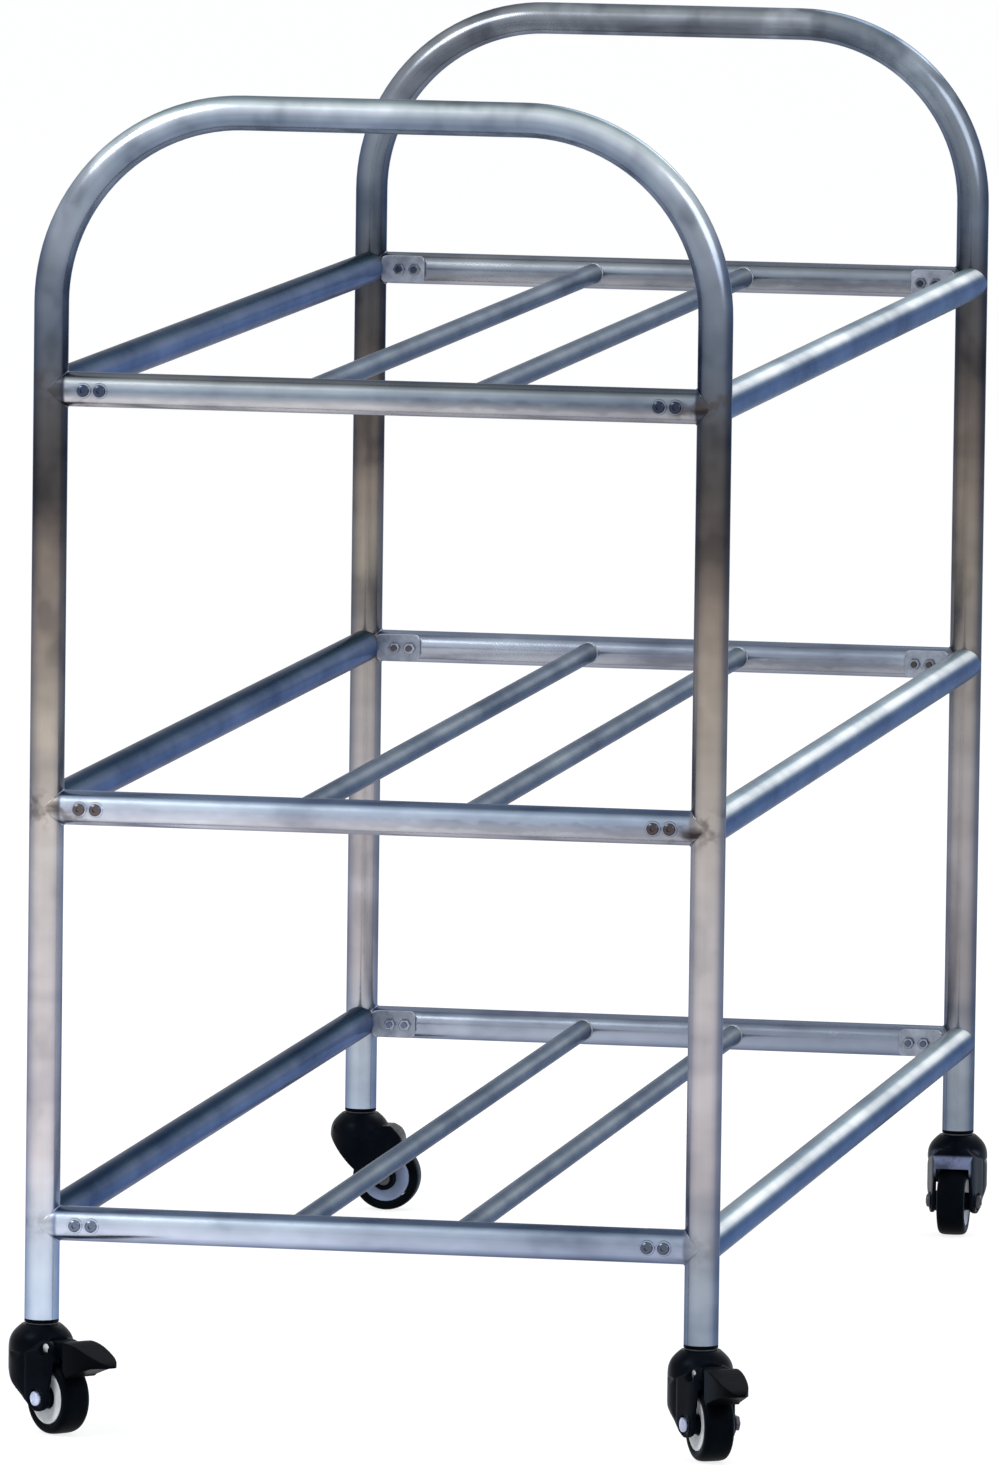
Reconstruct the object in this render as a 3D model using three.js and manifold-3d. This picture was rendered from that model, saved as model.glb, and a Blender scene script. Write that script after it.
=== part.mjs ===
// A three-tier cart on four swivel casters, in millimetres, with +Z up and its length along Y.
// Two bent hoops of round stainless tube make its ends. Each tier has a rail across each hoop,
// a rail down each side and two rods between them, with an open channel beside each rod.

import * as THREE from "three";
import { mergeVertices } from "three/addons/utils/BufferGeometryUtils.js";
import Module from "manifold-3d";

const wasm = await Module();
wasm.setup();

// Frame
const frameLength = 1200;
const frameWidth = 480;
const tubeDiameter = 25.4;
const tubeWall = 1.2;
const hoopRise = 200;
const bendRadius = 138;
const lowestTierHeight = 150;
const tierPitch = 300;
const rodDiameter = 16;
const rodWall = 1;
const rodSpacing = 120;
const rodEndSetback = 4;

// End tabs of the side rails, and the screws that pass through the cross rails into them
const tabThickness = 3;
const tabHeight = 21;
const tabReach = 46;
const screwHoleDiameter = 6.6;
const screwInset = 26;
const screwSpacing = 12;

// Threaded insert in the foot of each leg
const insertFlangeThickness = 2;
const insertDepth = 28;
const stemDiameter = 10;
const stemReach = 25;
const stemHeadDiameter = 16;
const stemHeadThickness = 3;

// Caster
const casterHeight = 78.5;
const wheelDiameter = 54;
const tyreWidth = 22;
const trail = 22;
const hoodRadius = 24;
const hoodCrownThickness = 2.8;
const shellWall = 2.8;
const cheekClearance = 2;
const archClearance = 2.5;
const legEndRadius = 9.5;
const axleBossRadius = 8;
const axleSpotFaceRadius = 7;
const axleBossReach = 5;
const raceDiameter = 24;
const raceThickness = 1.3;

// Wheel
const tyreThickness = 7.7;
const coreRimSetback = 0.5;
const hubDiameter = 14;
const axleDiameter = 6;
const axleHeadDiameter = 11;
const axleHeadThickness = 3.5;
const axleThreadEnd = 1;
const nutAcrossFlats = 10;
const nutThickness = 3.2;

// Brake
const pedalReach = 92;
const pedalNeckWidth = 15;
const pedalPivotInset = 26;
const pedalPivotHeight = 63;
const pedalEyeRadius = 5;
const brakeClearance = 5.4;
const brakePinDiameter = 4;
const brakePinHeadDiameter = 7;
const brakePinHeadThickness = 1;

// Clearances
const gap = 0.3;
const overrun = 5;

// Facet counts
const tubeSides = 16;
const rodSides = 12;
const bendSteps = 6;
const smallSides = 8;
const screwHoleSides = 6;
const plugSides = 12;
const hoodSides = 16;
const wheelSides = 20;
const coreSides = 16;
const curveSteps = 4;

// Turn of each caster about its stem, in degrees from +X to the way the wheel trails
const frontLeftTurn = -44;
const frontRightTurn = -62;
const rearLeftTurn = 2;
const rearRightTurn = -88;

// Shares of the hood's radius and of the height of its seat, for the dome and the hollow below it
const hoodProfileShares = [
  [1, 0.76],
  [0.98, 0.84],
  [0.9, 0.905],
  [0.76, 0.96],
  [0.58, 1.01],
  [0.53, 1],
];
const hoodHollowShares = [
  [0.33, 0.58],
  [0.8, 0.74],
  [0.8, 0.84],
  [0.68, 0.9],
];
// Shares of the hood's radius, for half of the fork seen from above, from the hood to its tail
const forkPlanShares = [
  [0.5, 0.9],
  [1.22, 0.7],
  [1.42, 0.58],
  [1.5, 0.36],
];
// Shares of the hood's radius and of the height of its seat, for half of the fork seen from its front
const forkFrontViewShares = [
  [0.84, 0.1],
  [0.88, 0.33],
  [1, 0.52],
  [1, 0.68],
  [0.94, 0.75],
  [0.6, 0.85],
  [0.45, 0.89],
];
// Shares of the hood's radius and of the height of its seat, for the side view of the fork
const forkFrontShare = [-0.97, 0.77];
const forkFrontBendShare = [-0.38, 0.48];
const forkRearBendShare = [1.36, 0.5];
const forkTailShares = [
  [1.44, 0.66],
  [1.47, 0.74],
  [1.36, 0.81],
  [1.22, 0.855],
  [1.08, 0.885],
  [-0.8, 0.885],
];
// Shares of the pedal's reach and of the height of the fork's seat, for the pedal's side view
const pedalSideShares = [
  [0.26, 0.88],
  [0.38, 0.885],
  [0.51, 0.908],
  [0.65, 0.888],
  [0.8, 0.836],
  [0.93, 0.785],
  [1, 0.75],
  [0.985, 0.72],
  [0.86, 0.705],
  [0.7, 0.652],
  [0.59, 0.607],
  [0.511, 0.58],
  [0.26, 0.7],
];
const pedalFlareShares = [0.42, 0.5];
const coreDishShare = 0.72;
const tyreShoulderShare = 0.88;
const tyreTreadShare = 0.55;

// Sizes worked out from the ones above
const tubeRadius = tubeDiameter / 2;
const rodRadius = rodDiameter / 2;
const postX = frameWidth / 2;
const hoopY = frameLength / 2;
const wheelRadius = wheelDiameter / 2;
const axleHeight = wheelRadius * Math.cos(Math.PI / wheelSides);
const flangeTop = casterHeight + insertFlangeThickness;
const legFoot = flangeTop + gap;
const forkSeat = casterHeight - raceThickness - 2 * gap;
const cheekInside = tyreWidth / 2 + cheekClearance;
const axleSeat = cheekInside + axleBossReach;
const coreRadius = wheelRadius - tyreThickness;
const tierHeights = [lowestTierHeight, lowestTierHeight + tierPitch, lowestTierHeight + 2 * tierPitch];
const tierNames = ["bottom", "middle", "top"];
const hoopBarHeight = tierHeights.at(-1) + hoopRise;

// Materials
const stainless = { color: 0xb9bbc0, metalness: 1, roughness: 0.16 };
const blackSteel = { color: 0x0c0e14, metalness: 0.4, roughness: 0.3 };
const blackPlastic = { color: 0x0b0c10, metalness: 0, roughness: 0.35 };
const blackRubber = { color: 0x0e0f12, metalness: 0, roughness: 0.5 };
const greyPlastic = { color: 0xc4ccd6, metalness: 0, roughness: 0.35 };
const zincSteel = { color: 0x9a9ca0, metalness: 1, roughness: 0.3 };

// Geometry and solids
function solidOf(geometry) {
  const bare = geometry.index ? geometry.toNonIndexed() : geometry.clone();
  bare.deleteAttribute("normal");
  bare.deleteAttribute("uv");
  const merged = mergeVertices(bare);
  const mesh = new wasm.Mesh({
    numProp: 3,
    vertProperties: new Float32Array(merged.attributes.position.array),
    triVerts: new Uint32Array(merged.index.array),
  });
  mesh.merge();
  return new wasm.Manifold(mesh);
}

function geometryOf(solid) {
  const mesh = solid.getMesh();
  const geometry = new THREE.BufferGeometry();
  geometry.setAttribute("position", new THREE.BufferAttribute(mesh.vertProperties, 3));
  geometry.setIndex(new THREE.BufferAttribute(mesh.triVerts, 1));
  geometry.computeVertexNormals();
  return geometry;
}

function polygon(radius, sides) {
  const points = [];
  for (let i = 0; i < sides; i += 1) {
    const angle = ((i + 0.5) / sides) * 2 * Math.PI;
    points.push(new THREE.Vector2(radius * Math.cos(angle), radius * Math.sin(angle)));
  }
  return points;
}

function ringShape(radius, boreRadius, sides) {
  const shape = new THREE.Shape(polygon(radius, sides));
  if (boreRadius > 0) {
    shape.holes.push(new THREE.Path(polygon(boreRadius, sides)));
  }
  return shape;
}

// A straight bar or tube that starts at a place and runs along one axis
function bar({ radius, bore = 0, length, axis, start, sides = tubeSides }) {
  const options = { depth: length, bevelEnabled: false };
  const geometry = new THREE.ExtrudeGeometry(ringShape(radius, bore, sides), options);
  if (axis === "x") {
    geometry.rotateY(Math.PI / 2);
  }
  if (axis === "y") {
    geometry.rotateX(-Math.PI / 2);
  }
  geometry.translate(start[0], start[1], start[2]);
  return solidOf(geometry);
}

function block(low, high) {
  const geometry = new THREE.BoxGeometry(high[0] - low[0], high[1] - low[1], high[2] - low[2]);
  geometry.translate((low[0] + high[0]) / 2, (low[1] + high[1]) / 2, (low[2] + high[2]) / 2);
  return solidOf(geometry);
}

// A side view in X and Z, given a thickness along Y that is centred on the XZ plane
function slab(shape, halfThickness) {
  const options = { depth: 2 * halfThickness, bevelEnabled: false, curveSegments: curveSteps };
  const geometry = new THREE.ExtrudeGeometry(shape, options);
  geometry.rotateX(Math.PI / 2);
  geometry.translate(0, halfThickness, 0);
  return solidOf(geometry);
}

// A profile of radii and places along the axis, turned about Z or about Y
function turned(profile, sides, axis = "z") {
  const points = profile.map(([radius, place]) => new THREE.Vector2(radius, place));
  points.push(points[0].clone());
  const geometry = new THREE.LatheGeometry(points, sides, Math.PI / sides);
  if (axis === "z") {
    geometry.rotateX(Math.PI / 2);
  }
  return solidOf(geometry);
}

function piece(name, solid, look) {
  const mesh = new THREE.Mesh(geometryOf(solid), new THREE.MeshStandardMaterial(look));
  mesh.name = name;
  return mesh;
}

// The hoop's centre line. Its stations stand at the ends of the straights and round each bend.
class HoopLine extends THREE.Curve {
  constructor() {
    super();
    this.stations = [];
    this.addStation(-postX, legFoot, Math.PI / 2);
    this.addBend(-postX + bendRadius, Math.PI);
    this.addBend(postX - bendRadius, Math.PI / 2);
    this.addStation(postX, legFoot, -Math.PI / 2);
  }

  addStation(x, z, heading) {
    const point = new THREE.Vector3(x, 0, z);
    const tangent = new THREE.Vector3(Math.cos(heading), 0, Math.sin(heading));
    this.stations.push({ point, tangent });
  }

  addBend(centreX, startAngle) {
    const centreZ = hoopBarHeight - bendRadius;
    for (let i = 0; i <= bendSteps; i += 1) {
      const angle = startAngle - ((i / bendSteps) * Math.PI) / 2;
      const x = centreX + bendRadius * Math.cos(angle);
      const z = centreZ + bendRadius * Math.sin(angle);
      this.addStation(x, z, angle - Math.PI / 2);
    }
  }

  stationAt(share) {
    return this.stations[Math.round(share * (this.stations.length - 1))];
  }

  getPointAt(share) {
    return this.stationAt(share).point.clone();
  }

  getTangentAt(share) {
    return this.stationAt(share).tangent.clone();
  }
}

function hoop() {
  const line = new HoopLine();
  const section = ringShape(tubeRadius, tubeRadius - tubeWall, tubeSides);
  const options = { steps: line.stations.length - 1, extrudePath: line };
  return solidOf(new THREE.ExtrudeGeometry(section, options));
}

// Saddle cut that seats a rail's end on the post that stands at a place
function postCut(x, y, z) {
  return bar({
    radius: tubeRadius + gap,
    length: tubeDiameter + 2 * overrun,
    axis: "z",
    start: [x, y, z - tubeRadius - overrun],
  });
}

// A rail across one hoop, seen with the inside of the cart towards +Y
function crossRail() {
  let solid = bar({
    radius: tubeRadius,
    bore: tubeRadius - tubeWall,
    length: frameWidth,
    axis: "x",
    start: [-postX, 0, 0],
  });
  for (const side of [-1, 1]) {
    solid = solid.subtract(postCut(side * postX, 0, 0));
    for (const inset of [screwInset, screwInset + screwSpacing]) {
      const hole = bar({
        radius: screwHoleDiameter / 2,
        length: tubeDiameter + 2 * overrun,
        axis: "y",
        start: [side * (postX - inset), -tubeRadius - overrun, 0],
        sides: screwHoleSides,
      });
      solid = solid.subtract(hole);
    }
    const socket = bar({
      radius: rodRadius + gap,
      length: tubeRadius + overrun,
      axis: "y",
      start: [(side * rodSpacing) / 2, 0, 0],
      sides: rodSides,
    });
    solid = solid.subtract(socket);
  }
  return solid;
}

// A rail down the left side, seated behind the post and the cross rail at each end,
// with a welded tab that lies against the inside of the cross rail
function sideRail() {
  let solid = bar({
    radius: tubeRadius,
    bore: tubeRadius - tubeWall,
    length: frameLength,
    axis: "y",
    start: [0, -hoopY, 0],
  });
  for (const end of [-1, 1]) {
    const railCut = bar({
      radius: tubeRadius + gap,
      length: tubeRadius + overrun,
      axis: "x",
      start: [0, end * hoopY, 0],
    });
    solid = solid.subtract(postCut(0, end * hoopY, 0)).subtract(railCut);
    const outerFace = end * (hoopY - tubeRadius - gap);
    const innerFace = outerFace - end * tabThickness;
    const tab = block(
      [tubeRadius - tubeWall, Math.min(outerFace, innerFace), -tabHeight / 2],
      [tabReach, Math.max(outerFace, innerFace), tabHeight / 2],
    );
    solid = solid.add(tab);
    for (const inset of [screwInset, screwInset + screwSpacing]) {
      const hole = bar({
        radius: screwHoleDiameter / 2,
        length: tabThickness + 2 * overrun,
        axis: "y",
        start: [inset, Math.min(outerFace, innerFace) - overrun, 0],
        sides: screwHoleSides,
      });
      solid = solid.subtract(hole);
    }
  }
  return solid;
}

function rod() {
  return bar({
    radius: rodRadius,
    bore: rodRadius - rodWall,
    length: frameLength - 2 * rodEndSetback,
    axis: "y",
    start: [0, -hoopY + rodEndSetback, 0],
    sides: rodSides,
  });
}

function frame() {
  const group = new THREE.Group();
  const hoopSolid = hoop();
  const crossRailSolid = crossRail();
  const sideRailSolid = sideRail();
  const rodSolid = rod();
  for (const [end, name, turn] of [[-1, "front", 0], [1, "rear", Math.PI]]) {
    const hoopMesh = piece(`${name}_hoop`, hoopSolid, stainless);
    hoopMesh.position.y = end * hoopY;
    group.add(hoopMesh);
    tierHeights.forEach((height, tier) => {
      const rail = piece(`${tierNames[tier]}_${name}_rail`, crossRailSolid, stainless);
      rail.position.set(0, end * hoopY, height);
      rail.rotation.z = turn;
      group.add(rail);
    });
  }
  for (const [side, name, turn] of [[-1, "left", 0], [1, "right", Math.PI]]) {
    tierHeights.forEach((height, tier) => {
      const rail = piece(`${tierNames[tier]}_${name}_side_rail`, sideRailSolid, stainless);
      rail.position.set(side * postX, 0, height);
      rail.rotation.z = turn;
      group.add(rail);
      const rodMesh = piece(`${tierNames[tier]}_${name}_rod`, rodSolid, stainless);
      rodMesh.position.set((side * rodSpacing) / 2, 0, height);
      group.add(rodMesh);
    });
  }
  return group;
}

// Plug in the foot of a leg, with a flange under the tube's end and a bore for the caster's stem
function legInsert() {
  const bore = stemDiameter / 2 + gap;
  const plugRadius = (tubeRadius - tubeWall) * Math.cos(Math.PI / tubeSides) - gap;
  return turned([
    [bore, casterHeight],
    [tubeRadius, casterHeight],
    [tubeRadius, flangeTop],
    [plugRadius, flangeTop],
    [plugRadius, flangeTop + insertDepth],
    [bore, flangeTop + insertDepth],
  ], plugSides);
}

// Stem with the head that holds the fork up from inside the hood
function casterStem() {
  const headTop = forkSeat - hoodCrownThickness - gap;
  return turned([
    [0, headTop - stemHeadThickness],
    [stemHeadDiameter / 2, headTop - stemHeadThickness],
    [stemHeadDiameter / 2, headTop],
    [stemDiameter / 2, headTop],
    [stemDiameter / 2, casterHeight + stemReach],
    [0, casterHeight + stemReach],
  ], smallSides + 2);
}

function swivelRace() {
  const bore = stemDiameter / 2 + gap;
  return turned([
    [bore, forkSeat + gap],
    [raceDiameter / 2, forkSeat + gap],
    [raceDiameter / 2, casterHeight - gap],
    [bore, casterHeight - gap],
  ], smallSides + 2);
}

// Fork seen from above, drawn in by an inset. Its front is the round of the hood.
function forkPlan(inset) {
  const scale = hoodRadius - inset;
  const sideStart = forkPlanShares[0][0] * scale;
  const round = polygon(scale, hoodSides).filter((point) => point.x < sideStart && point.y > 0).reverse();
  const half = [...round, ...forkPlanShares.map(([x, y]) => new THREE.Vector2(x * scale, y * scale))];
  const mirrored = half.map((point) => new THREE.Vector2(point.x, -point.y));
  return new THREE.Shape([...mirrored.reverse(), ...half]);
}

// Fork seen from its front, drawn in by an inset and made solid along X
function forkBreadth(inset) {
  const half = forkFrontViewShares.map(([y, z]) => [y * hoodRadius - inset, z * forkSeat]);
  const left = half.map(([y, z]) => new THREE.Vector2(-y, z));
  const right = half.map(([y, z]) => new THREE.Vector2(y, z));
  const options = { depth: 4 * hoodRadius, bevelEnabled: false };
  const geometry = new THREE.ExtrudeGeometry(new THREE.Shape([...left.reverse(), ...right]), options);
  geometry.rotateX(Math.PI / 2);
  geometry.rotateZ(Math.PI / 2);
  geometry.translate(-2 * hoodRadius, 0, 0);
  return solidOf(geometry);
}

// Body that the fork is cut from: its plan, drawn in by an inset, within its breadth
function forkBody(inset) {
  const options = { depth: casterHeight, bevelEnabled: false };
  const geometry = new THREE.ExtrudeGeometry(forkPlan(inset), options);
  return solidOf(geometry).intersect(forkBreadth(inset));
}

// Side view of the fork: a front edge that sweeps back to the axle, a round leg end
// and a tail that shelters the back of the wheel
function forkOutline() {
  const at = ([radiusShare, seatShare]) => [radiusShare * hoodRadius, seatShare * forkSeat];
  const front = at(forkFrontShare);
  const frontBend = at(forkFrontBendShare);
  const rearBend = at(forkRearBendShare);
  const tail = forkTailShares.map(at);
  const down = Math.atan2(axleHeight - frontBend[1], trail - frontBend[0]) - Math.PI / 2;
  const up = Math.PI / 6;
  const shape = new THREE.Shape();
  shape.moveTo(front[0], front[1]);
  const startX = trail + legEndRadius * Math.cos(down);
  const startZ = axleHeight + legEndRadius * Math.sin(down);
  shape.quadraticCurveTo(frontBend[0], frontBend[1], startX, startZ);
  shape.absarc(trail, axleHeight, legEndRadius, down, up, false);
  shape.quadraticCurveTo(rearBend[0], rearBend[1], tail[0][0], tail[0][1]);
  tail.slice(1).forEach(([x, z]) => shape.lineTo(x, z));
  shape.closePath();
  return shape;
}

// Room for the wheel to turn in, open downward
function wheelRoom(halfWidth) {
  const arch = bar({
    radius: wheelRadius + archClearance,
    length: 2 * halfWidth,
    axis: "y",
    start: [trail, -halfWidth, axleHeight],
    sides: wheelSides,
  });
  return arch.add(block([-2 * hoodRadius, -halfWidth, -overrun], [2 * hoodRadius, halfWidth, axleHeight]));
}

// Hooded fork. A domed hood runs down into two shell cheeks, with a boss inside each for the axle.
function casterFork(braked) {
  const dome = hoodProfileShares.map(([r, z]) => [r * hoodRadius, z * forkSeat]);
  const domeSolid = turned([[0, dome[0][1]], ...dome, [0, forkSeat]], hoodSides);
  const crownFloor = forkSeat - hoodCrownThickness;
  const hollow = hoodHollowShares.map(([r, z]) => [r * hoodRadius, z * forkSeat]);
  const hollowTop = [hollow.at(-1)[0] - shellWall, crownFloor];
  const hollowSolid = turned([[0, hollow[0][1]], ...hollow, hollowTop, [0, crownFloor]], hoodSides);
  const cavity = wheelRoom(2 * hoodRadius).intersect(forkBody(shellWall)).add(wheelRoom(cheekInside));
  const shell = slab(forkOutline(), 2 * hoodRadius).intersect(forkBody(0)).add(domeSolid);
  let solid = shell.subtract(cavity).subtract(hollowSolid);
  for (const side of [-1, 1]) {
    const boss = bar({
      radius: axleBossRadius,
      length: axleBossReach,
      axis: "y",
      start: [trail, side > 0 ? cheekInside : -axleSeat, axleHeight],
      sides: smallSides + 2,
    });
    const spotFace = bar({
      radius: axleSpotFaceRadius,
      length: hoodRadius,
      axis: "y",
      start: [trail, side > 0 ? axleSeat : -axleSeat - hoodRadius, axleHeight],
      sides: smallSides + 2,
    });
    solid = solid.add(boss).subtract(spotFace);
  }
  const stemHole = bar({
    radius: stemDiameter / 2 + gap,
    length: casterHeight,
    axis: "z",
    start: [0, 0, forkSeat / 2],
    sides: smallSides + 2,
  });
  const axleHole = bar({
    radius: axleDiameter / 2 + gap,
    length: 2 * axleSeat + 2 * overrun,
    axis: "y",
    start: [trail, -axleSeat - overrun, axleHeight],
    sides: smallSides,
  });
  solid = solid.subtract(stemHole).subtract(axleHole);
  return braked ? solid.subtract(brakeSlot()).subtract(brakePinHole()) : solid;
}

// Slot through the tail for the pedal, and the flat seats for the heads of its pin
function brakeSlot() {
  const slotHalf = pedalNeckWidth / 2 + gap;
  let slot = block(
    [pedalPivotInset - pedalEyeRadius - gap, -slotHalf, axleHeight],
    [pedalReach, slotHalf, casterHeight + overrun],
  );
  for (const start of [-cheekInside - hoodRadius, cheekInside]) {
    slot = slot.add(bar({
      radius: pedalEyeRadius,
      length: hoodRadius,
      axis: "y",
      start: [pedalPivotInset, start, pedalPivotHeight],
      sides: smallSides + 2,
    }));
  }
  return slot;
}

function brakePinHole() {
  return bar({
    radius: brakePinDiameter / 2 + gap,
    length: 2 * cheekInside + 2 * overrun,
    axis: "y",
    start: [pedalPivotInset, -cheekInside - overrun, pedalPivotHeight],
    sides: smallSides,
  });
}

function brakePin() {
  const half = cheekInside + gap;
  const pin = brakePinDiameter / 2;
  const head = brakePinHeadDiameter / 2;
  const solid = turned([
    [0, -half - brakePinHeadThickness],
    [head, -half - brakePinHeadThickness],
    [head, -half],
    [pin, -half],
    [pin, half],
    [head, half],
    [head, half + brakePinHeadThickness],
    [0, half + brakePinHeadThickness],
  ], smallSides, "y");
  return solid.translate([pedalPivotInset, 0, pedalPivotHeight]);
}

// Foot lever that presses on the tread. It is cut back from the wheel by the brake's clearance.
function brakePedal() {
  const halfWidth = cheekInside - gap;
  const side = pedalSideShares.map(([r, z]) => new THREE.Vector2(r * pedalReach, z * forkSeat));
  const neck = pedalNeckWidth / 2;
  const [flareStart, flareEnd] = pedalFlareShares.map((share) => share * pedalReach);
  const plan = new THREE.Shape();
  plan.moveTo(0, -neck);
  plan.lineTo(flareStart, -neck);
  plan.lineTo(flareEnd, -halfWidth);
  plan.quadraticCurveTo(pedalReach, -halfWidth, pedalReach, 0);
  plan.quadraticCurveTo(pedalReach, halfWidth, flareEnd, halfWidth);
  plan.lineTo(flareStart, neck);
  plan.lineTo(0, neck);
  plan.closePath();
  const planOptions = { depth: casterHeight, bevelEnabled: false, curveSegments: curveSteps };
  const planSolid = solidOf(new THREE.ExtrudeGeometry(plan, planOptions));
  const eye = bar({
    radius: pedalEyeRadius,
    length: 2 * neck,
    axis: "y",
    start: [pedalPivotInset, -neck, pedalPivotHeight],
    sides: smallSides + 2,
  });
  const wheelSweep = bar({
    radius: wheelRadius + brakeClearance,
    length: 2 * cheekInside,
    axis: "y",
    start: [trail, -cheekInside, axleHeight],
    sides: wheelSides,
  });
  const lever = slab(new THREE.Shape(side), halfWidth).intersect(planSolid);
  return lever.add(eye).subtract(wheelSweep).subtract(brakePinHole());
}

function tyre() {
  const inner = coreRadius + gap;
  const half = tyreWidth / 2;
  const shoulder = inner + (wheelRadius - inner) * tyreShoulderShare;
  const wall = inner + (wheelRadius - inner) * tyreTreadShare;
  return turned([
    [inner, -half + coreRimSetback],
    [wall, -half],
    [shoulder, -half * tyreShoulderShare],
    [wheelRadius, -half * tyreTreadShare],
    [wheelRadius, half * tyreTreadShare],
    [shoulder, half * tyreShoulderShare],
    [wall, half],
    [inner, half - coreRimSetback],
  ], wheelSides, "y");
}

function wheelCore() {
  const bore = axleDiameter / 2 + gap;
  const hubHalf = cheekInside - gap;
  const rimHalf = tyreWidth / 2 - coreRimSetback;
  const dishRadius = (coreRadius + hubDiameter / 2) / 2;
  const dishHalf = rimHalf * coreDishShare;
  const half = [
    [bore, hubHalf],
    [hubDiameter / 2, hubHalf],
    [hubDiameter / 2, dishHalf],
    [dishRadius, dishHalf],
    [coreRadius, rimHalf],
  ];
  const mirrored = half.map(([r, y]) => [r, -y]);
  return turned([...mirrored, ...half.reverse()], coreSides, "y");
}

function wheelAxle() {
  const seat = axleSeat + gap;
  const radius = axleDiameter / 2;
  const end = seat + nutThickness + axleThreadEnd;
  return turned([
    [0, -seat - axleHeadThickness],
    [axleHeadDiameter / 2, -seat - axleHeadThickness],
    [axleHeadDiameter / 2, -seat],
    [radius, -seat],
    [radius, end],
    [0, end],
  ], smallSides + 2, "y");
}

function axleNut() {
  const cornerRadius = nutAcrossFlats / Math.sqrt(3);
  const nut = bar({
    radius: cornerRadius,
    length: nutThickness,
    axis: "y",
    start: [0, axleSeat + gap, 0],
    sides: 6,
  });
  const hole = bar({
    radius: axleDiameter / 2 + gap,
    length: axleSeat + nutThickness + overrun,
    axis: "y",
    start: [0, gap, 0],
    sides: smallSides,
  });
  return nut.subtract(hole);
}

// One caster under one leg. Its swivelling half turns about the stem.
function caster(name, side, end, turn, braked) {
  const group = new THREE.Group();
  group.position.set(side * postX, end * hoopY, 0);
  group.add(piece(`${name}_leg_insert`, legInsert(), blackPlastic));
  group.add(piece(`${name}_caster_stem`, casterStem(), zincSteel));
  group.add(piece(`${name}_swivel_race`, swivelRace(), zincSteel));
  const swivel = new THREE.Group();
  swivel.rotation.z = THREE.MathUtils.degToRad(turn);
  swivel.add(piece(`${name}_caster_fork`, casterFork(braked), blackSteel));
  const wheel = new THREE.Group();
  wheel.position.set(trail, 0, axleHeight);
  wheel.add(piece(`${name}_tyre`, tyre(), blackRubber));
  wheel.add(piece(`${name}_wheel_core`, wheelCore(), greyPlastic));
  wheel.add(piece(`${name}_wheel_axle`, wheelAxle(), zincSteel));
  wheel.add(piece(`${name}_axle_nut`, axleNut(), zincSteel));
  swivel.add(wheel);
  if (braked) {
    swivel.add(piece(`${name}_brake_pedal`, brakePedal(), blackPlastic));
    swivel.add(piece(`${name}_brake_pin`, brakePin(), zincSteel));
  }
  group.add(swivel);
  return group;
}

const cart = new THREE.Group();
cart.add(frame());
cart.add(caster("front_left", -1, -1, frontLeftTurn, true));
cart.add(caster("front_right", 1, -1, frontRightTurn, true));
cart.add(caster("rear_left", -1, 1, rearLeftTurn, false));
cart.add(caster("rear_right", 1, 1, rearRightTurn, false));

// The origin lies on the floor under the middle of the whole cart
const bounds = new THREE.Box3().setFromObject(cart, true);
const middle = bounds.getCenter(new THREE.Vector3());
cart.position.set(-middle.x, -middle.y, -bounds.min.z);

export default cart;
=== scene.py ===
"""A wheeled cart of round stainless tube with three tiers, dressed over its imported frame."""
from math import atan2, cos, pi, radians, sin, sqrt

import bmesh
import bpy
from mathutils import Matrix, Vector


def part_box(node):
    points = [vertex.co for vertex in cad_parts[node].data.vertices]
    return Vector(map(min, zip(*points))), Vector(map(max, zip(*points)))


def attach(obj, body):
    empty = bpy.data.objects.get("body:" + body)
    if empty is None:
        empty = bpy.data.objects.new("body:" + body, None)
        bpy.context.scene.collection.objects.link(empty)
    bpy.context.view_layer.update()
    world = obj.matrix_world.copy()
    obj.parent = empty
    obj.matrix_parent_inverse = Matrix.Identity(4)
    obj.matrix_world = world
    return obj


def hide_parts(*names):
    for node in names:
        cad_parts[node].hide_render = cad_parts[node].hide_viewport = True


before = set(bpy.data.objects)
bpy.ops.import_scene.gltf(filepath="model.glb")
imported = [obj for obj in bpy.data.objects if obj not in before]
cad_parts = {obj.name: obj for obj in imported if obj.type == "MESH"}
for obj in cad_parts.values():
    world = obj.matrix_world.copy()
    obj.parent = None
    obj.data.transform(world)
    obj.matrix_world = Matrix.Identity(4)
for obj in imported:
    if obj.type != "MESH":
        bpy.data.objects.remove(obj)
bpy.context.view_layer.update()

# Sizes in millimetres, from the solids. Tubes, rods, pins and holes are given by their radius. That
# of a tube or rod lies inside the flats of its faceted solid.
MM = 0.001
POST_X = 240
TUBE = 12.45
TUBE_WALL = 1.2
BEND = 138
BAR_HEIGHT = 950
LEG_FOOT = 80.8
LOWEST_TIER = 150
TIER_STEP = 300
TIERS = {name: LOWEST_TIER + TIER_STEP * order for order, name in enumerate(("bottom", "middle", "top"))}
ROD = 7.85
ROD_WALL = 1
ROD_X = 60
ROD_HALF = 596
TAB_NEAR = 13
TAB_FAR = 16
TAB_REACH = 46
TAB_HALF = 10.5
SCREW_INSETS = (26, 38)
GAP = 0.3

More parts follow.
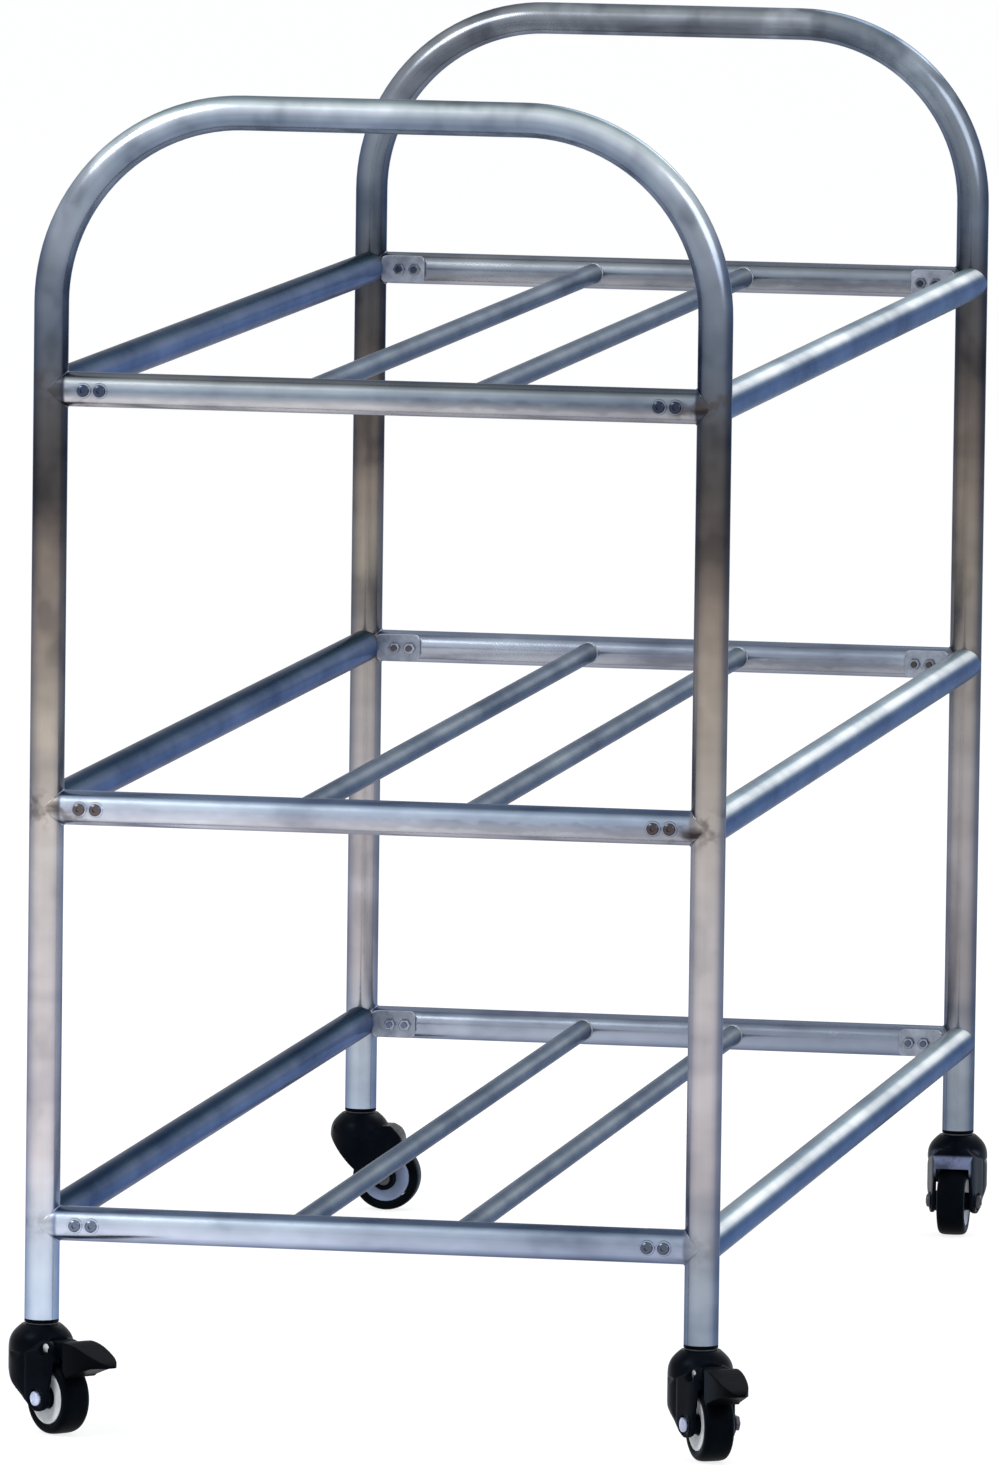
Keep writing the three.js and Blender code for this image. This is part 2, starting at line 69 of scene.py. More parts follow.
# Caster
SEAT = 76.6
CASTER_TOP = 78.5
WHEEL_RADIUS = 26.66
AXLE_Z = 26.668
TRAIL = 22
HOOD = 23.6
SHELL_WALL = 2.8
CHEEK_IN = 13
AXLE_SEAT = 18
BOSS = 8
SPOT_FACE = 7
WHEEL_ROOM = 29.5
THREAD = 5
STEM_HOLE = 5.3
AXLE_HOLE = 3.3
PIN_HOLE = 2.3
PIN_SEAT = 5
PIVOT = (26, 63)
NECK = 7.5

# Side, end, turn of the trailing wheel from +X in degrees, and whether it has a brake
CASTERS = {
    "front_left": (-1, "front", -44, True),
    "front_right": (1, "front", -62, True),
    "rear_left": (-1, "rear", 2, False),
    "rear_right": (1, "rear", -88, False),
}


def middle_of(node):
    low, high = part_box(node)
    return (low + high) / 2 / MM


FRONT = middle_of("front_hoop")
REAR = middle_of("rear_hoop")
CENTRE_X = FRONT.x
END_Y = {"front": FRONT.y, "rear": REAR.y}
MIDDLE_Y = (FRONT.y + REAR.y) / 2
SIDE = {"left": -1, "right": 1}
END = {"front": -1, "rear": 1}


def even(value):
    """The same number along all three axes, or a grey."""
    return (value, value, value)


def scaled(tone, share):
    return tuple(share * c for c in tone)


# Node trees
class Look:
    """A material whose node tree is built one node at a time."""

    def __init__(self, name, **constants):
        self.material = bpy.data.materials.new(name)
        self.material.use_nodes = True
        self.tree = self.material.node_tree
        self.tree.nodes.clear()
        output = self.tree.nodes.new("ShaderNodeOutputMaterial")
        self.shader = self.tree.nodes.new("ShaderNodeBsdfPrincipled")
        self.tree.links.new(self.shader.outputs[0], output.inputs["Surface"])
        for socket, value in constants.items():
            self.shader.inputs[socket.replace("_", " ")].default_value = value

    def add(self, kind, inputs=(), **settings):
        """Adds a node. An input that is a socket is linked, and any other is set."""
        node = self.tree.nodes.new("ShaderNode" + kind)
        for key, value in settings.items():
            setattr(node, key, value)
        for key, value in dict(inputs).items():
            if isinstance(value, bpy.types.NodeSocket):
                self.tree.links.new(value, node.inputs[key])
            else:
                node.inputs[key].default_value = value
        return node

    def place(self):
        return self.add("TexCoord").outputs["Object"]

    def normal(self):
        return self.add("NewGeometry").outputs["Normal"]

    def split(self, vector):
        return self.add("SeparateXYZ", {0: vector}).outputs

    def math(self, operation, a, b=0.0, c=0.0):
        return self.add("Math", {0: a, 1: b, 2: c}, operation=operation).outputs[0]

    def times(self, first, *others):
        for other in others:
            first = self.math("MULTIPLY", first, other)
        return first

    def turn(self, lean):
        """A normal's lean along an axis, from -1 to 1, as a share from 0 to 1."""
        return self.math("MULTIPLY_ADD", lean, 0.5, 0.5)

    def noise(self, waves, detail=3.0, roughness=0.6):
        """Soft noise with about so many waves to the metre along each axis."""
        vector = self.add("VectorMath", {0: self.place(), 1: waves}, operation="MULTIPLY").outputs[0]
        inputs = {"Vector": vector, "Scale": 1.0, "Detail": detail, "Roughness": roughness}
        return self.add("TexNoise", inputs).outputs["Fac"]

    def band(self, value, low, high, start=0.0, end=1.0):
        """Goes softly from start to end as the value goes from low to high."""
        inputs = {0: value, 1: low, 2: high, 3: start, 4: end}
        return self.add("MapRange", inputs, interpolation_type="SMOOTHSTEP").outputs[0]

    def ramp(self, value, stops):
        node = self.add("ValToRGB", {0: value})
        elements = node.color_ramp.elements
        while len(elements) < len(stops):
            elements.new(0.5)
        for element, (position, colour) in zip(elements, stops):
            element.position = position
            element.color = (*colour, 1)
        return node.outputs["Color"]

    def mix(self, share, a, b, blend="MIX"):
        """Mixes two colours, by the numbers that the node's colour sockets have."""
        node = self.add("Mix", {0: share, 6: a, 7: b}, data_type="RGBA", blend_type=blend)
        return node.outputs[2]

    def mottle(self, base, waves, stops, share=1.0, detail=3.0, roughness=0.6):
        """Darkens and lightens a tone in soft patches."""
        patches = self.ramp(self.noise(waves, detail, roughness), stops)
        return self.mix(share, base, patches, "MULTIPLY")

    def feed(self, name, socket):
        self.tree.links.new(socket, self.shader.inputs[name])

    def bump(self, height, strength, distance):
        inputs = {"Height": height, "Strength": strength, "Distance": distance}
        self.feed("Normal", self.add("Bump", inputs).outputs[0])


EDGE = (0.45, 0.48, 0.56, 1)
BLACK = (0.0, 0.0, 0.0, 1.0)

# Where one painted tone gives way to the next, in metres: over the middle of the cart, and up it
MIDDLE = (-0.1, 0.1)
BOTTOM_TO_MIDDLE_TIER = (0.28, 0.32)
MIDDLE_TO_TOP_TIER = (0.58, 0.62)
LEG_TO_BAR = (0.84, 0.935)


def polish(look, along):
    """Fine polishing marks round the tube, and soft smears in its gloss."""
    marks = look.noise([288.0 if axis == along else 108.0 for axis in "xyz"], 3.0, 0.7)
    smear = look.noise(even(34.0))
    rough = look.math("MULTIPLY_ADD", smear, 0.16, 0.12)
    look.feed("Roughness", look.math("MULTIPLY_ADD", marks, 0.06, rough))
    look.bump(marks, 0.12, 0.00008)


def near_tier(look, height):
    """How far a place lies above or below the nearest tier, in metres."""
    step = TIER_STEP * MM
    turns = look.math("MULTIPLY_ADD", height, 1 / step, -LOWEST_TIER / TIER_STEP)
    off = look.math("SUBTRACT", turns, look.math("ROUND", turns))
    return look.times(look.math("ABSOLUTE", off), step)


def post_tone(look, x, y, z, turn):
    """Painted reflections and shade on a post, by its height and by the turn of its surface, 0 at its left
    and 1 at its right.
    """
    legs = look.ramp(turn, [
        (0.0, (0.52, 0.58, 0.72)), (0.1, (0.55, 0.59, 0.70)), (0.19, (0.66, 0.69, 0.76)),
        (0.3, (0.88, 0.89, 0.92)), (0.42, (1.0, 0.99, 0.99)), (0.66, (1.0, 1.0, 1.0)),
        (0.76, (0.94, 0.94, 0.96)), (0.85, (0.74, 0.76, 0.82)), (0.93, (0.40, 0.45, 0.56)),
        (1.0, (0.34, 0.43, 0.60)),
    ])
    height = look.ramp(z, [
        (0.08, (0.56, 0.67, 0.82)), (0.13, (0.57, 0.65, 0.76)), (0.2, (0.62, 0.59, 0.62)),
        (0.3, (0.58, 0.55, 0.565)), (0.385, (0.55, 0.52, 0.52)), (0.45, (0.47, 0.435, 0.41)),
        (0.52, (0.40, 0.36, 0.31)), (0.58, (0.27, 0.23, 0.20)), (0.63, (0.165, 0.14, 0.125)),
        (0.69, (0.088, 0.082, 0.08)), (0.74, (0.085, 0.088, 0.096)), (0.8, (0.13, 0.16, 0.21)),
        (0.88, (0.26, 0.30, 0.36)),
    ])
    # Painted shade: the right posts are darker, most towards their feet, and the rear posts too, less so near
    # the top.
    right = look.band(x, *MIDDLE)
    foot = look.band(z, 0.12, 0.3, 1.0, 0.0)
    dim = look.math("MULTIPLY_ADD", look.times(right, foot), 0.34, look.times(right, 0.14))
    dim = look.math("MINIMUM", look.math("MULTIPLY_ADD", look.band(y, *MIDDLE), 0.3, dim), 0.58)
    dim = look.times(dim, look.band(z, 0.5, 0.62, 1.0, 0.4))
    return look.mix(1.0, legs, look.mix(dim, height, BLACK), "MULTIPLY")


def bar_tone(look, x, y, nz):
    """Painted reflections on a hoop's bar and bends by the lean of its surface, with painted shade at the
    rear hoop, bluer towards its right corner, and painted glints along it.
    """
    bar = look.ramp(look.turn(nz), [
        (0.0, (0.16, 0.19, 0.24)), (0.14, (0.18, 0.225, 0.30)), (0.3, (0.155, 0.195, 0.275)),
        (0.47, (0.25, 0.31, 0.39)), (0.6, (0.44, 0.50, 0.60)), (0.72, (0.57, 0.65, 0.71)),
        (0.82, (0.50, 0.58, 0.62)), (0.92, (0.22, 0.28, 0.30)), (1.0, (0.16, 0.20, 0.23)),
    ])
    rear = look.band(y, *MIDDLE)
    bar = look.mix(look.times(rear, 0.74), bar, (0.11, 0.115, 0.13, 1.0))
    corner = look.times(rear, look.band(x, 0.06, 0.18))
    bar = look.mix(look.times(corner, 0.7), bar, (0.085, 0.125, 0.18, 1.0))
    # Painted glints along the rear bar, strongest towards its right.
    glints = look.band(look.noise(even(20.0), 3.0, 0.5), 0.48, 0.72, 0.0, 0.42)
    shining = look.times(rear, look.band(x, -0.15, 0.18, 0.45, 1.0))
    return look.mix(look.times(shining, glints), bar, (0.5, 0.57, 0.66, 1.0))


def hoop_steel():
    look = Look("polished_hoop_tube", Metallic=1.0, Specular_Tint=EDGE)
    x, y, z = look.split(look.place())
    nx, _, nz = look.split(look.normal())
    # The base colour carries painted reflections and painted shade, from the posts up into the bar.
    legs = post_tone(look, x, y, z, look.turn(nx))
    base = look.mix(look.band(z, *LEG_TO_BAR), legs, bar_tone(look, x, y, nz))
    base = look.mottle(base, (5.0, 5.0, 15.0), [
        (0.32, (0.68, 0.69, 0.73)), (0.45, (0.95, 0.94, 0.94)), (0.58, (1.05, 1.04, 1.04)),
        (0.7, (1.22, 1.24, 1.28)),
    ], roughness=0.55)
    base = look.mottle(base, (34.0, 34.0, 24.0), [
        (0.32, (0.60, 0.61, 0.64)), (0.45, even(0.95)), (0.58, even(1.04)),
        (0.72, (1.26, 1.24, 1.22)),
    ], look.band(z, 0.35, 0.6, 0.4, 0.85), 2.0, 0.5)
    joint = look.band(near_tier(look, z), 0.004, 0.02, 1.0, 0.0)
    speck = look.noise((95.0, 60.0, 95.0), 2.0, 0.5)
    shade = look.times(joint, look.band(speck, 0.42, 0.68), look.band(z, 0.2, 0.4, 0.22, 0.62))
    look.feed("Base Color", look.mix(shade, base, (0.06, 0.052, 0.055, 1.0)))
    polish(look, "z")
    return look.material


def cross_tone(look, x, y, z, nz):
    """Painted reflections and shade on a cross rail, by the lean of its surface, its tier and its place
    across the cart.
    """
    turn = look.turn(nz)
    base = look.ramp(turn, [
        (0.0, (0.25, 0.28, 0.38)), (0.08, (0.30, 0.34, 0.46)), (0.16, (0.40, 0.45, 0.60)),
        (0.27, (0.57, 0.64, 0.79)), (0.38, (0.58, 0.64, 0.78)), (0.49, (0.52, 0.58, 0.71)),
        (0.61, (0.54, 0.62, 0.75)), (0.72, (0.56, 0.65, 0.77)), (0.82, (0.36, 0.44, 0.55)),
        (0.9, (0.13, 0.18, 0.27)), (0.96, (0.13, 0.17, 0.25)), (1.0, (0.22, 0.26, 0.33)),
    ])
    top = look.ramp(turn, [
        (0.0, (0.36, 0.36, 0.37)), (0.14, (0.46, 0.46, 0.50)), (0.28, (0.42, 0.45, 0.52)),
        (0.4, (0.22, 0.28, 0.36)), (0.5, (0.20, 0.27, 0.35)), (0.62, (0.38, 0.44, 0.52)),
        (0.74, (0.42, 0.47, 0.50)), (0.86, (0.18, 0.20, 0.21)), (1.0, (0.12, 0.13, 0.14)),
    ])
    base = look.mix(look.band(z, *MIDDLE_TO_TOP_TIER), base, top)
    # Painted reflection: a warm tone on the lower face of the middle and top tiers, stronger towards the
    # right.
    warm = look.times(look.band(z, *BOTTOM_TO_MIDDLE_TIER), look.band(turn, 0.25, 0.62, 1.0, 0.0))
    warm = look.times(warm, look.band(x, -0.2, 0.02, 0.4, 0.8))
    base = look.mix(warm, base, (0.66, 0.62, 0.61, 1.0))
    # Painted shade: the rail darkens from its left end towards its right end, and the rear rails are darker
    # still.
    offset = look.math("SUBTRACT", x, CENTRE_X * MM)
    across = look.ramp(look.math("MULTIPLY_ADD", offset, 0.5 / (POST_X * MM), 0.5), [
        (0.0, (1.02, 1.0, 1.0)), (0.2, even(0.98)), (0.5, (0.68, 0.70, 0.74)),
        (0.8, (0.50, 0.53, 0.58)), (1.0, (0.52, 0.54, 0.59)),
    ])
    base = look.mix(1.0, base, across, "MULTIPLY")
    return look.mix(look.times(look.band(y, *MIDDLE), 0.45), base, (0.19, 0.21, 0.25, 1.0))


def joint_darkening(look, base, x, z, nz, out):
    """Darker brown patches near the posts on the lower side, and a dark line that is darkest beside the post.
    """
    stain = look.noise((70.0, 70.0, 110.0), 2.0, 0.5)
    near = look.times(look.band(out, 0.19, 0.232), look.band(nz, 0.15, 0.5, 1.0, 0.0))
    shade = look.times(near, look.band(stain, 0.42, 0.68), look.band(z, 0.2, 0.4, 0.25, 0.75))
    base = look.mix(shade, base, (0.07, 0.055, 0.05, 1.0))
    lean = look.math("MULTIPLY_ADD", stain, 0.8, look.math("ADD", nz, -0.2))
    line = look.band(look.math("ABSOLUTE", lean), 0.08, 0.36, 1.0, 0.0)
    reach = look.times(look.band(out, 0.214, 0.233, 0.25, 0.9), look.band(out, 0.2365, 0.2395, 1.0, 0.0))
    dark_line = look.times(line, reach, look.band(z, 0.3, 0.42), look.band(x, -0.05, 0.05, 0.4, 1.0))
    return look.mix(dark_line, base, (0.022, 0.018, 0.02, 1.0))


def cross_steel():
    look = Look("polished_cross_tube", Metallic=1.0, Specular_Tint=EDGE)
    x, y, z = look.split(look.place())
    nz = look.split(look.normal())[2]
    base = look.mottle(cross_tone(look, x, y, z, nz), (13.0, 20.0, 20.0), [
        (0.3, (0.66, 0.67, 0.71)), (0.46, (0.95, 0.95, 0.96)), (0.6, even(1.06)),
        (0.7, (1.2, 1.2, 1.18)),
    ])
    # Over the post the tube takes the tone of the post, so that the two run together
    offset = look.math("SUBTRACT", x, CENTRE_X * MM)
    out = look.math("ABSOLUTE", offset)
    past_edge = look.times(look.math("SUBTRACT", out, POST_X * MM), 0.5 / (TUBE * MM))
    turn = look.math("MULTIPLY_ADD", look.math("SIGN", offset), past_edge, 0.5)
    seam = look.band(out, (POST_X - TUBE - 0.8) * MM, (POST_X - TUBE + 1.6) * MM)
    base = look.mix(seam, base, post_tone(look, x, y, z, turn))
    look.feed("Base Color", joint_darkening(look, base, x, z, nz, out))
    polish(look, "x")
    return look.material


def long_steel(name, stops):
    """Tube that runs the length of the cart. Its tone, painted reflection and shade, turns round the tube,
    from left of its underside.
    """
    look = Look(name, Specular_Tint=(0.25, 0.31, 0.47, 1), Specular_IOR_Level=0.0)
    nx, _, nz = look.split(look.normal())
    tilt = radians(30)
    lean = look.math("MULTIPLY_ADD", nx, -0.5 * sin(tilt), 0.5)
    base = look.ramp(look.math("MULTIPLY_ADD", nz, 0.5 * cos(tilt), lean), stops)
    # Less metallic in the painted highlight, so that it shows about as bright as it is painted.
    look.feed("Metallic", look.band(look.split(base)[0], 0.35, 0.75, 0.5, 0.12))
    look.feed("Base Color", look.mottle(base, (16.0, 7.0, 16.0), [
        (0.3, (0.62, 0.63, 0.66)), (0.5, even(1.0)), (0.68, (1.34, 1.3, 1.26)),
    ]))
    polish(look, "y")
    return look.material


def plain_steel(name, tone, rough):
    look = Look(name, Metallic=1.0)
    patches = look.noise(even(120.0))
    look.feed("Base Color", look.ramp(patches, [(0.3, scaled(tone, 0.7)), (0.7, scaled(tone, 1.2))]))
    look.feed("Roughness", look.math("MULTIPLY_ADD", patches, 0.2, rough))
    look.bump(patches, 0.1, 0.0001)
    return look.material


def screw_steel():
    """Screw heads in painted shade: bluish low down, brown at the middle tier, nearly black at the top and
    darker towards the right.
    """
    look = Look("screw_with_painted_shade", Metallic=1.0, Specular_Tint=EDGE)
    x, _, z = look.split(look.place())
    base = look.ramp(z, [
        (0.2, (0.15, 0.18, 0.25)), (0.34, (0.115, 0.10, 0.105)), (0.5, (0.115, 0.10, 0.105)),
        (0.62, (0.05, 0.065, 0.11)),
    ])
    # Painted shade: darker towards the right of the cart.
    look.feed("Base Color", look.mix(look.band(x, -0.05, 0.05, 0.0, 0.45), base, (0.012, 0.012, 0.014, 1.0)))
    polish(look, "z")
    return look.material


def painted_highlight_share(look, smear, low, high, fade=0.006):
    """Share of a painted highlight on the side that faces -Y at rest, between two heights in metres."""
    height = look.split(look.place())[2]
    _, own_y, own_z = look.split(look.add("TexCoord").outputs["Normal"])
    facing = look.times(look.band(own_y, -0.85, -0.45, 1.0, 0.0), look.band(own_z, 0.5, 0.75, 1.0, 0.0))
    level = look.times(look.band(height, low, low + fade), look.band(height, high - fade, high, 1.0, 0.0))
    return look.times(facing, level, look.band(smear, 0.3, 0.5, 0.35, 0.9))


def gloss_black(name, tone, rough, grain, gloss, sheen=None):
    """Black plastic or rubber, with a painted blue reflection where it faces sideways. A painted highlight
    can lie between two heights.
    """
    look = Look(name, Specular_IOR_Level=gloss, Specular_Tint=(0.6, 0.75, 1.0, 1))
    nx = look.split(look.normal())[0]
    smear = look.noise(even(55.0))
    base = look.ramp(smear, [(0.3, scaled(tone, 0.5)), (0.7, scaled(tone, 1.6))])
    # Painted blue reflection on faces that turn sideways.
    sideways = look.band(look.math("ABSOLUTE", nx), 0.78, 1.0, 0.0, 0.7)
    base = look.mix(sideways, base, (0.010, 0.026, 0.052, 1.0))
    if sheen:
        base = look.mix(painted_highlight_share(look, smear, *sheen), base, (0.22, 0.26, 0.42, 1.0))
    look.feed("Base Color", base)
    look.feed("Roughness", look.math("MULTIPLY_ADD", smear, 0.22, rough))
    look.bump(look.noise(even(grain), 2.0, 0.5), 0.1, 0.00012)
    return look.material


def pale_plastic(name, tint):
    look = Look(name, Specular_IOR_Level=0.3)
    smear = look.noise(even(70.0))
    look.feed("Base Color", look.ramp(smear, [
        (0.32, scaled(tint, 0.8)),
        (0.5, tint),
        (0.7, tuple(min(c, 0.95) for c in scaled(tint, 1.12))),
    ]))
    look.feed("Roughness", look.math("MULTIPLY_ADD", smear, 0.2, 0.28))
    look.bump(smear, 0.06, 0.0002)
    return look.material


HOOP_STEEL = hoop_steel()
CROSS_STEEL = cross_steel()
# Painted reflections round the rails and rods: the right rails have a painted white highlight over a blue
# underside, the left rails lie in painted shade and are nearly black on top, the rods carry a soft painted
# highlight.
RIGHT_STEEL = long_steel("polished_side_tube_right", [
    (0.0, (0.226, 0.288, 0.384)), (0.1, (0.0752, 0.144, 0.282)), (0.25, (0.094, 0.152, 0.294)),
    (0.37, (0.078, 0.126, 0.24)), (0.46, (0.132, 0.176, 0.25)), (0.58, (0.66, 0.75, 0.82)),
    (0.68, (0.95, 0.98, 0.99)), (0.76, (0.82, 0.92, 0.97)), (0.84, (0.426, 0.518, 0.566)),
    (0.92, (0.263, 0.336, 0.352)), (1.0, (0.226, 0.256, 0.269)),
])
LEFT_STEEL = long_steel("polished_side_tube_left", [
    (0.0, (0.188, 0.208, 0.307)), (0.14, (0.094, 0.144, 0.282)), (0.25, (0.122, 0.176, 0.333)),
    (0.37, (0.15, 0.208, 0.333)), (0.48, (0.169, 0.2, 0.288)), (0.59, (0.122, 0.152, 0.192)),
    (0.7, (0.0423, 0.064, 0.0768)), (0.81, (0.0141, 0.028, 0.032)), (0.9, (0.0188, 0.032, 0.0384)),
    (0.97, (0.0752, 0.08, 0.0896)), (1.0, (0.113, 0.12, 0.122)),
])
ROD_STEEL = long_steel("polished_rod_tube", [
    (0.0, (0.12, 0.14, 0.18)), (0.14, (0.095, 0.125, 0.175)), (0.25, (0.122, 0.165, 0.23)),
    (0.37, (0.205, 0.245, 0.30)), (0.48, (0.31, 0.35, 0.39)), (0.6, (0.35, 0.40, 0.43)),
    (0.7, (0.235, 0.265, 0.28)), (0.81, (0.14, 0.165, 0.185)), (0.92, (0.115, 0.14, 0.16)),
    (1.0, (0.165, 0.19, 0.205)),
])
WELD_STEEL = plain_steel("polished_weld", (0.26, 0.29, 0.33), 0.2)
TAB_STEEL = plain_steel("polished_tab", (0.30, 0.33, 0.40), 0.24)
SCREW_STEEL = screw_steel()
ZINC = plain_steel("zinc_plate", (0.5, 0.51, 0.54), 0.24)
# A zinc axle head with a painted highlight, for the front casters.
LIT_AXLE_HEAD = plain_steel("axle_head_with_painted_highlight", (0.52, 0.58, 0.78), 0.3)
# Zinc in painted shade, for the race rings, the nuts and the rear axle heads.
ZINC_IN_PAINTED_SHADE = plain_steel("zinc_in_painted_shade", (0.075, 0.078, 0.09), 0.34)
HOOD_TONE = (0.002, 0.003, 0.0055)
RUBBER_TONE = (0.002, 0.003, 0.0045)
HOOD_BLACK = gloss_black("hood_gloss_black", HOOD_TONE, 0.22, 900.0, 0.035)
# The rear right hood: a painted highlight band on its side that faces -Y.
PAINTED_HIGHLIGHT_BLACK = gloss_black("hood_black_with_painted_highlight", HOOD_TONE, 0.22, 900.0, 0.035, (0.046, 0.068))
PEDAL_BLACK = gloss_black("pedal_gloss_black", (0.0022, 0.003, 0.0042), 0.3, 900.0, 0.012)
TREAD_BLACK = gloss_black("tread_black", RUBBER_TONE, 0.34, 1400.0, 0.02)
RIM_GREY = pale_plastic("pale_grey_rim", (0.82, 0.86, 0.90))
# The pale rim in painted shade, for the rear wheels.
RIM_IN_PAINTED_SHADE = pale_plastic("pale_grey_rim_in_painted_shade", (0.26, 0.33, 0.50))
CORE_BLACK = gloss_black("core_black", RUBBER_TONE, 0.3, 1200.0, 0.03)


# Facet counts
BEND_STEPS = 28
HOOP_SIDES = 56
RAIL_SIDES = 64
ROD_SIDES = 40
SADDLE_STEPS = 72
PLUG_SIDES = 64
WHEEL_SIDES = 96
TREAD_SIDES = 128
SMALL_SIDES = 48
PIN_SIDES = 32
GROOVE_SIDES = 20


# Surfaces
class Surface:
    """Points in millimetres and the faces between them, of one or more closed shells."""

    def __init__(self):
        self.points = []
        self.faces = []
        self.slots = []

    def skin(self, rings, wrap=False, slots=None):
        """Joins rings of equal length. A wrap closes on itself, and otherwise the ends are capped."""
        start = len(self.points)
        count = len(rings[0])
        for ring in rings:
            self.points.extend(tuple(p) for p in ring)
        last = len(rings) if wrap else len(rings) - 1
        for i in range(last):
            a = start + i * count
            b = start + ((i + 1) % len(rings)) * count
            for j in range(count):
                k = (j + 1) % count
                self.faces.append((a + j, a + k, b + k, b + j))
                self.slots.append(slots[i] if slots else 0)
        if not wrap:
            end = start + (len(rings) - 1) * count
            self.faces.append(tuple(range(start, start + count)))
            self.faces.append(tuple(range(end, end + count)))
            self.slots.extend([slots[0], slots[-1]] if slots else [0, 0])
        return self

    def mesh(self, sharp=36.0):
        mesh = bpy.data.meshes.new("surface")
        mesh.from_pydata([tuple(c * MM for c in p) for p in self.points], [], self.faces)
        mesh.polygons.foreach_set("material_index", self.slots)
        work = bmesh.new()
        work.from_mesh(mesh)
        bmesh.ops.recalc_face_normals(work, faces=work.faces)
        work.to_mesh(mesh)
        work.free()
        return smooth(mesh, sharp)


def smooth(mesh, sharp):
    mesh.polygons.foreach_set("use_smooth", [True] * len(mesh.polygons))
    mesh.set_sharp_from_angle(angle=radians(sharp))
    return mesh


def put(name, data):
    thing = bpy.data.objects.new(name, data)
    bpy.context.scene.collection.objects.link(thing)
    return thing


def shift(x, y, z):
    return Matrix.Translation(Vector((x, y, z)) * MM)


def add(name, mesh, materials, body, nodes=(), matrix=None):
    """One piece of the cart, on the body that carries it. A matrix places a copy of a shared mesh."""
    if matrix is not None:
        mesh = mesh.copy()
        mesh.transform(matrix)
    mesh.name = name
    piece = put(name, mesh)
    for material in materials:
        mesh.materials.append(material)
    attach(piece, body)
    if nodes:
        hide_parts(*nodes)


def angles(count):
    return [2 * pi * i / count for i in range(count)]


def lathe_rings(profile, count, axis="z", centre=(0, 0, 0)):
    """Rings of a profile of radii and places along the axis. A radius can be a function of angle."""
    rings = []
    for radius, place in profile:
        ring = []
        for a in angles(count):
            r = radius(a) if callable(radius) else radius
            u, v = r * cos(a), r * sin(a)
            point = (u, place, -v) if axis == "y" else (u, v, place)
            ring.append(tuple(p + c for p, c in zip(point, centre)))
        rings.append(ring)
    return rings


def turned(profile, count, axis="z", centre=(0, 0, 0), **options):
    return Surface().skin(lathe_rings(profile, count, axis, centre), **options)


def rounded(outline, radius, steps):
    """A closed outline whose corners are rounded off."""
    points = [Vector(p) for p in outline]
    result = []
    for i, p in enumerate(points):
        before = points[i - 1] - p
        after = points[(i + 1) % len(points)] - p
        cut = min(radius, before.length * 0.45, after.length * 0.45)
        a = p + before.normalized() * cut
        b = p + after.normalized() * cut
        for k in range(steps + 1):
            t = k / steps
            result.append(tuple(a * (1 - t) ** 2 + p * 2 * t * (1 - t) + b * t * t))
    return result


def flowing(points, steps):
    """A smooth line through the points."""
    last = len(points) - 1
    result = []
    for i in range(last):
        quad = [Vector(points[min(max(k, 0), last)]) for k in (i - 1, i, i + 1, i + 2)]
        for s in range(steps):
            t = s / steps
            a = quad[1] * 2
            b = (quad[2] - quad[0]) * t
            c = (quad[0] * 2 - quad[1] * 5 + quad[2] * 4 - quad[3]) * t * t
            d = (quad[1] * 3 - quad[0] - quad[2] * 3 + quad[3]) * t ** 3
            result.append(tuple((a + b + c + d) * 0.5))
    result.append(tuple(points[-1]))
    return result


def bead(surface, line, lean, radius, count=10):
    """A weld bead along a closed line. It leans the way the surfaces face."""
    rings = []
    total = len(line)
    for i, point in enumerate(line):
        along = (Vector(line[(i + 1) % total]) - Vector(line[i - 1])).normalized()
        up = Vector(lean[i])
        up = (up - along * up.dot(along)).normalized()
        across = along.cross(up)
        size = radius(i / total)
        ring = []
        for a in angles(count):
            ring.append(Vector(point) + (up * cos(a) + across * sin(a)) * size)
        rings.append(ring)
    surface.skin(rings, wrap=True)


# Hoops
def hoop_rings(radius, y):
    """Rings round the hoop's line: up one leg, round both bends and down the other leg."""
    bend_z = BAR_HEIGHT - BEND
    stations = [(-POST_X, LEG_FOOT, pi / 2)]
    for bend_x, start in ((-POST_X + BEND, pi), (POST_X - BEND, pi / 2)):
        for i in range(BEND_STEPS + 1):
            a = start - i / BEND_STEPS * pi / 2
            stations.append((bend_x + BEND * cos(a), bend_z + BEND * sin(a), a - pi / 2))
    stations.append((POST_X, LEG_FOOT, -pi / 2))
    rings = []
    for x, z, heading in stations:
        side = Vector((-sin(heading), 0, cos(heading)))
        centre = Vector((CENTRE_X + x, y, z))
        ring = []
        for a in angles(HOOP_SIDES):
            ring.append(centre + (side * cos(a) + Vector((0, 1, 0)) * sin(a)) * radius)
        rings.append(ring)
    return rings


for end, y in END_Y.items():
    rings = hoop_rings(TUBE, y) + hoop_rings(TUBE - TUBE_WALL, y)[::-1]
    mesh = Surface().skin(rings, wrap=True).mesh()
    add(f"{end}_hoop_tube", mesh, [HOOP_STEEL], "frame", [f"{end}_hoop"])


# Rails across the hoops, cut to a saddle at each end that stops just short of the post
SADDLE_GAP = 0.05


def cross_rings(radius, y, z):
    left, right = [], []
    for a in angles(RAIL_SIDES):
        reach = POST_X - radius * abs(sin(a)) - SADDLE_GAP
        across, up = y + radius * cos(a), z + radius * sin(a)
        left.append((CENTRE_X - reach, across, up))
        right.append((CENTRE_X + reach, across, up))
    return [left, right]


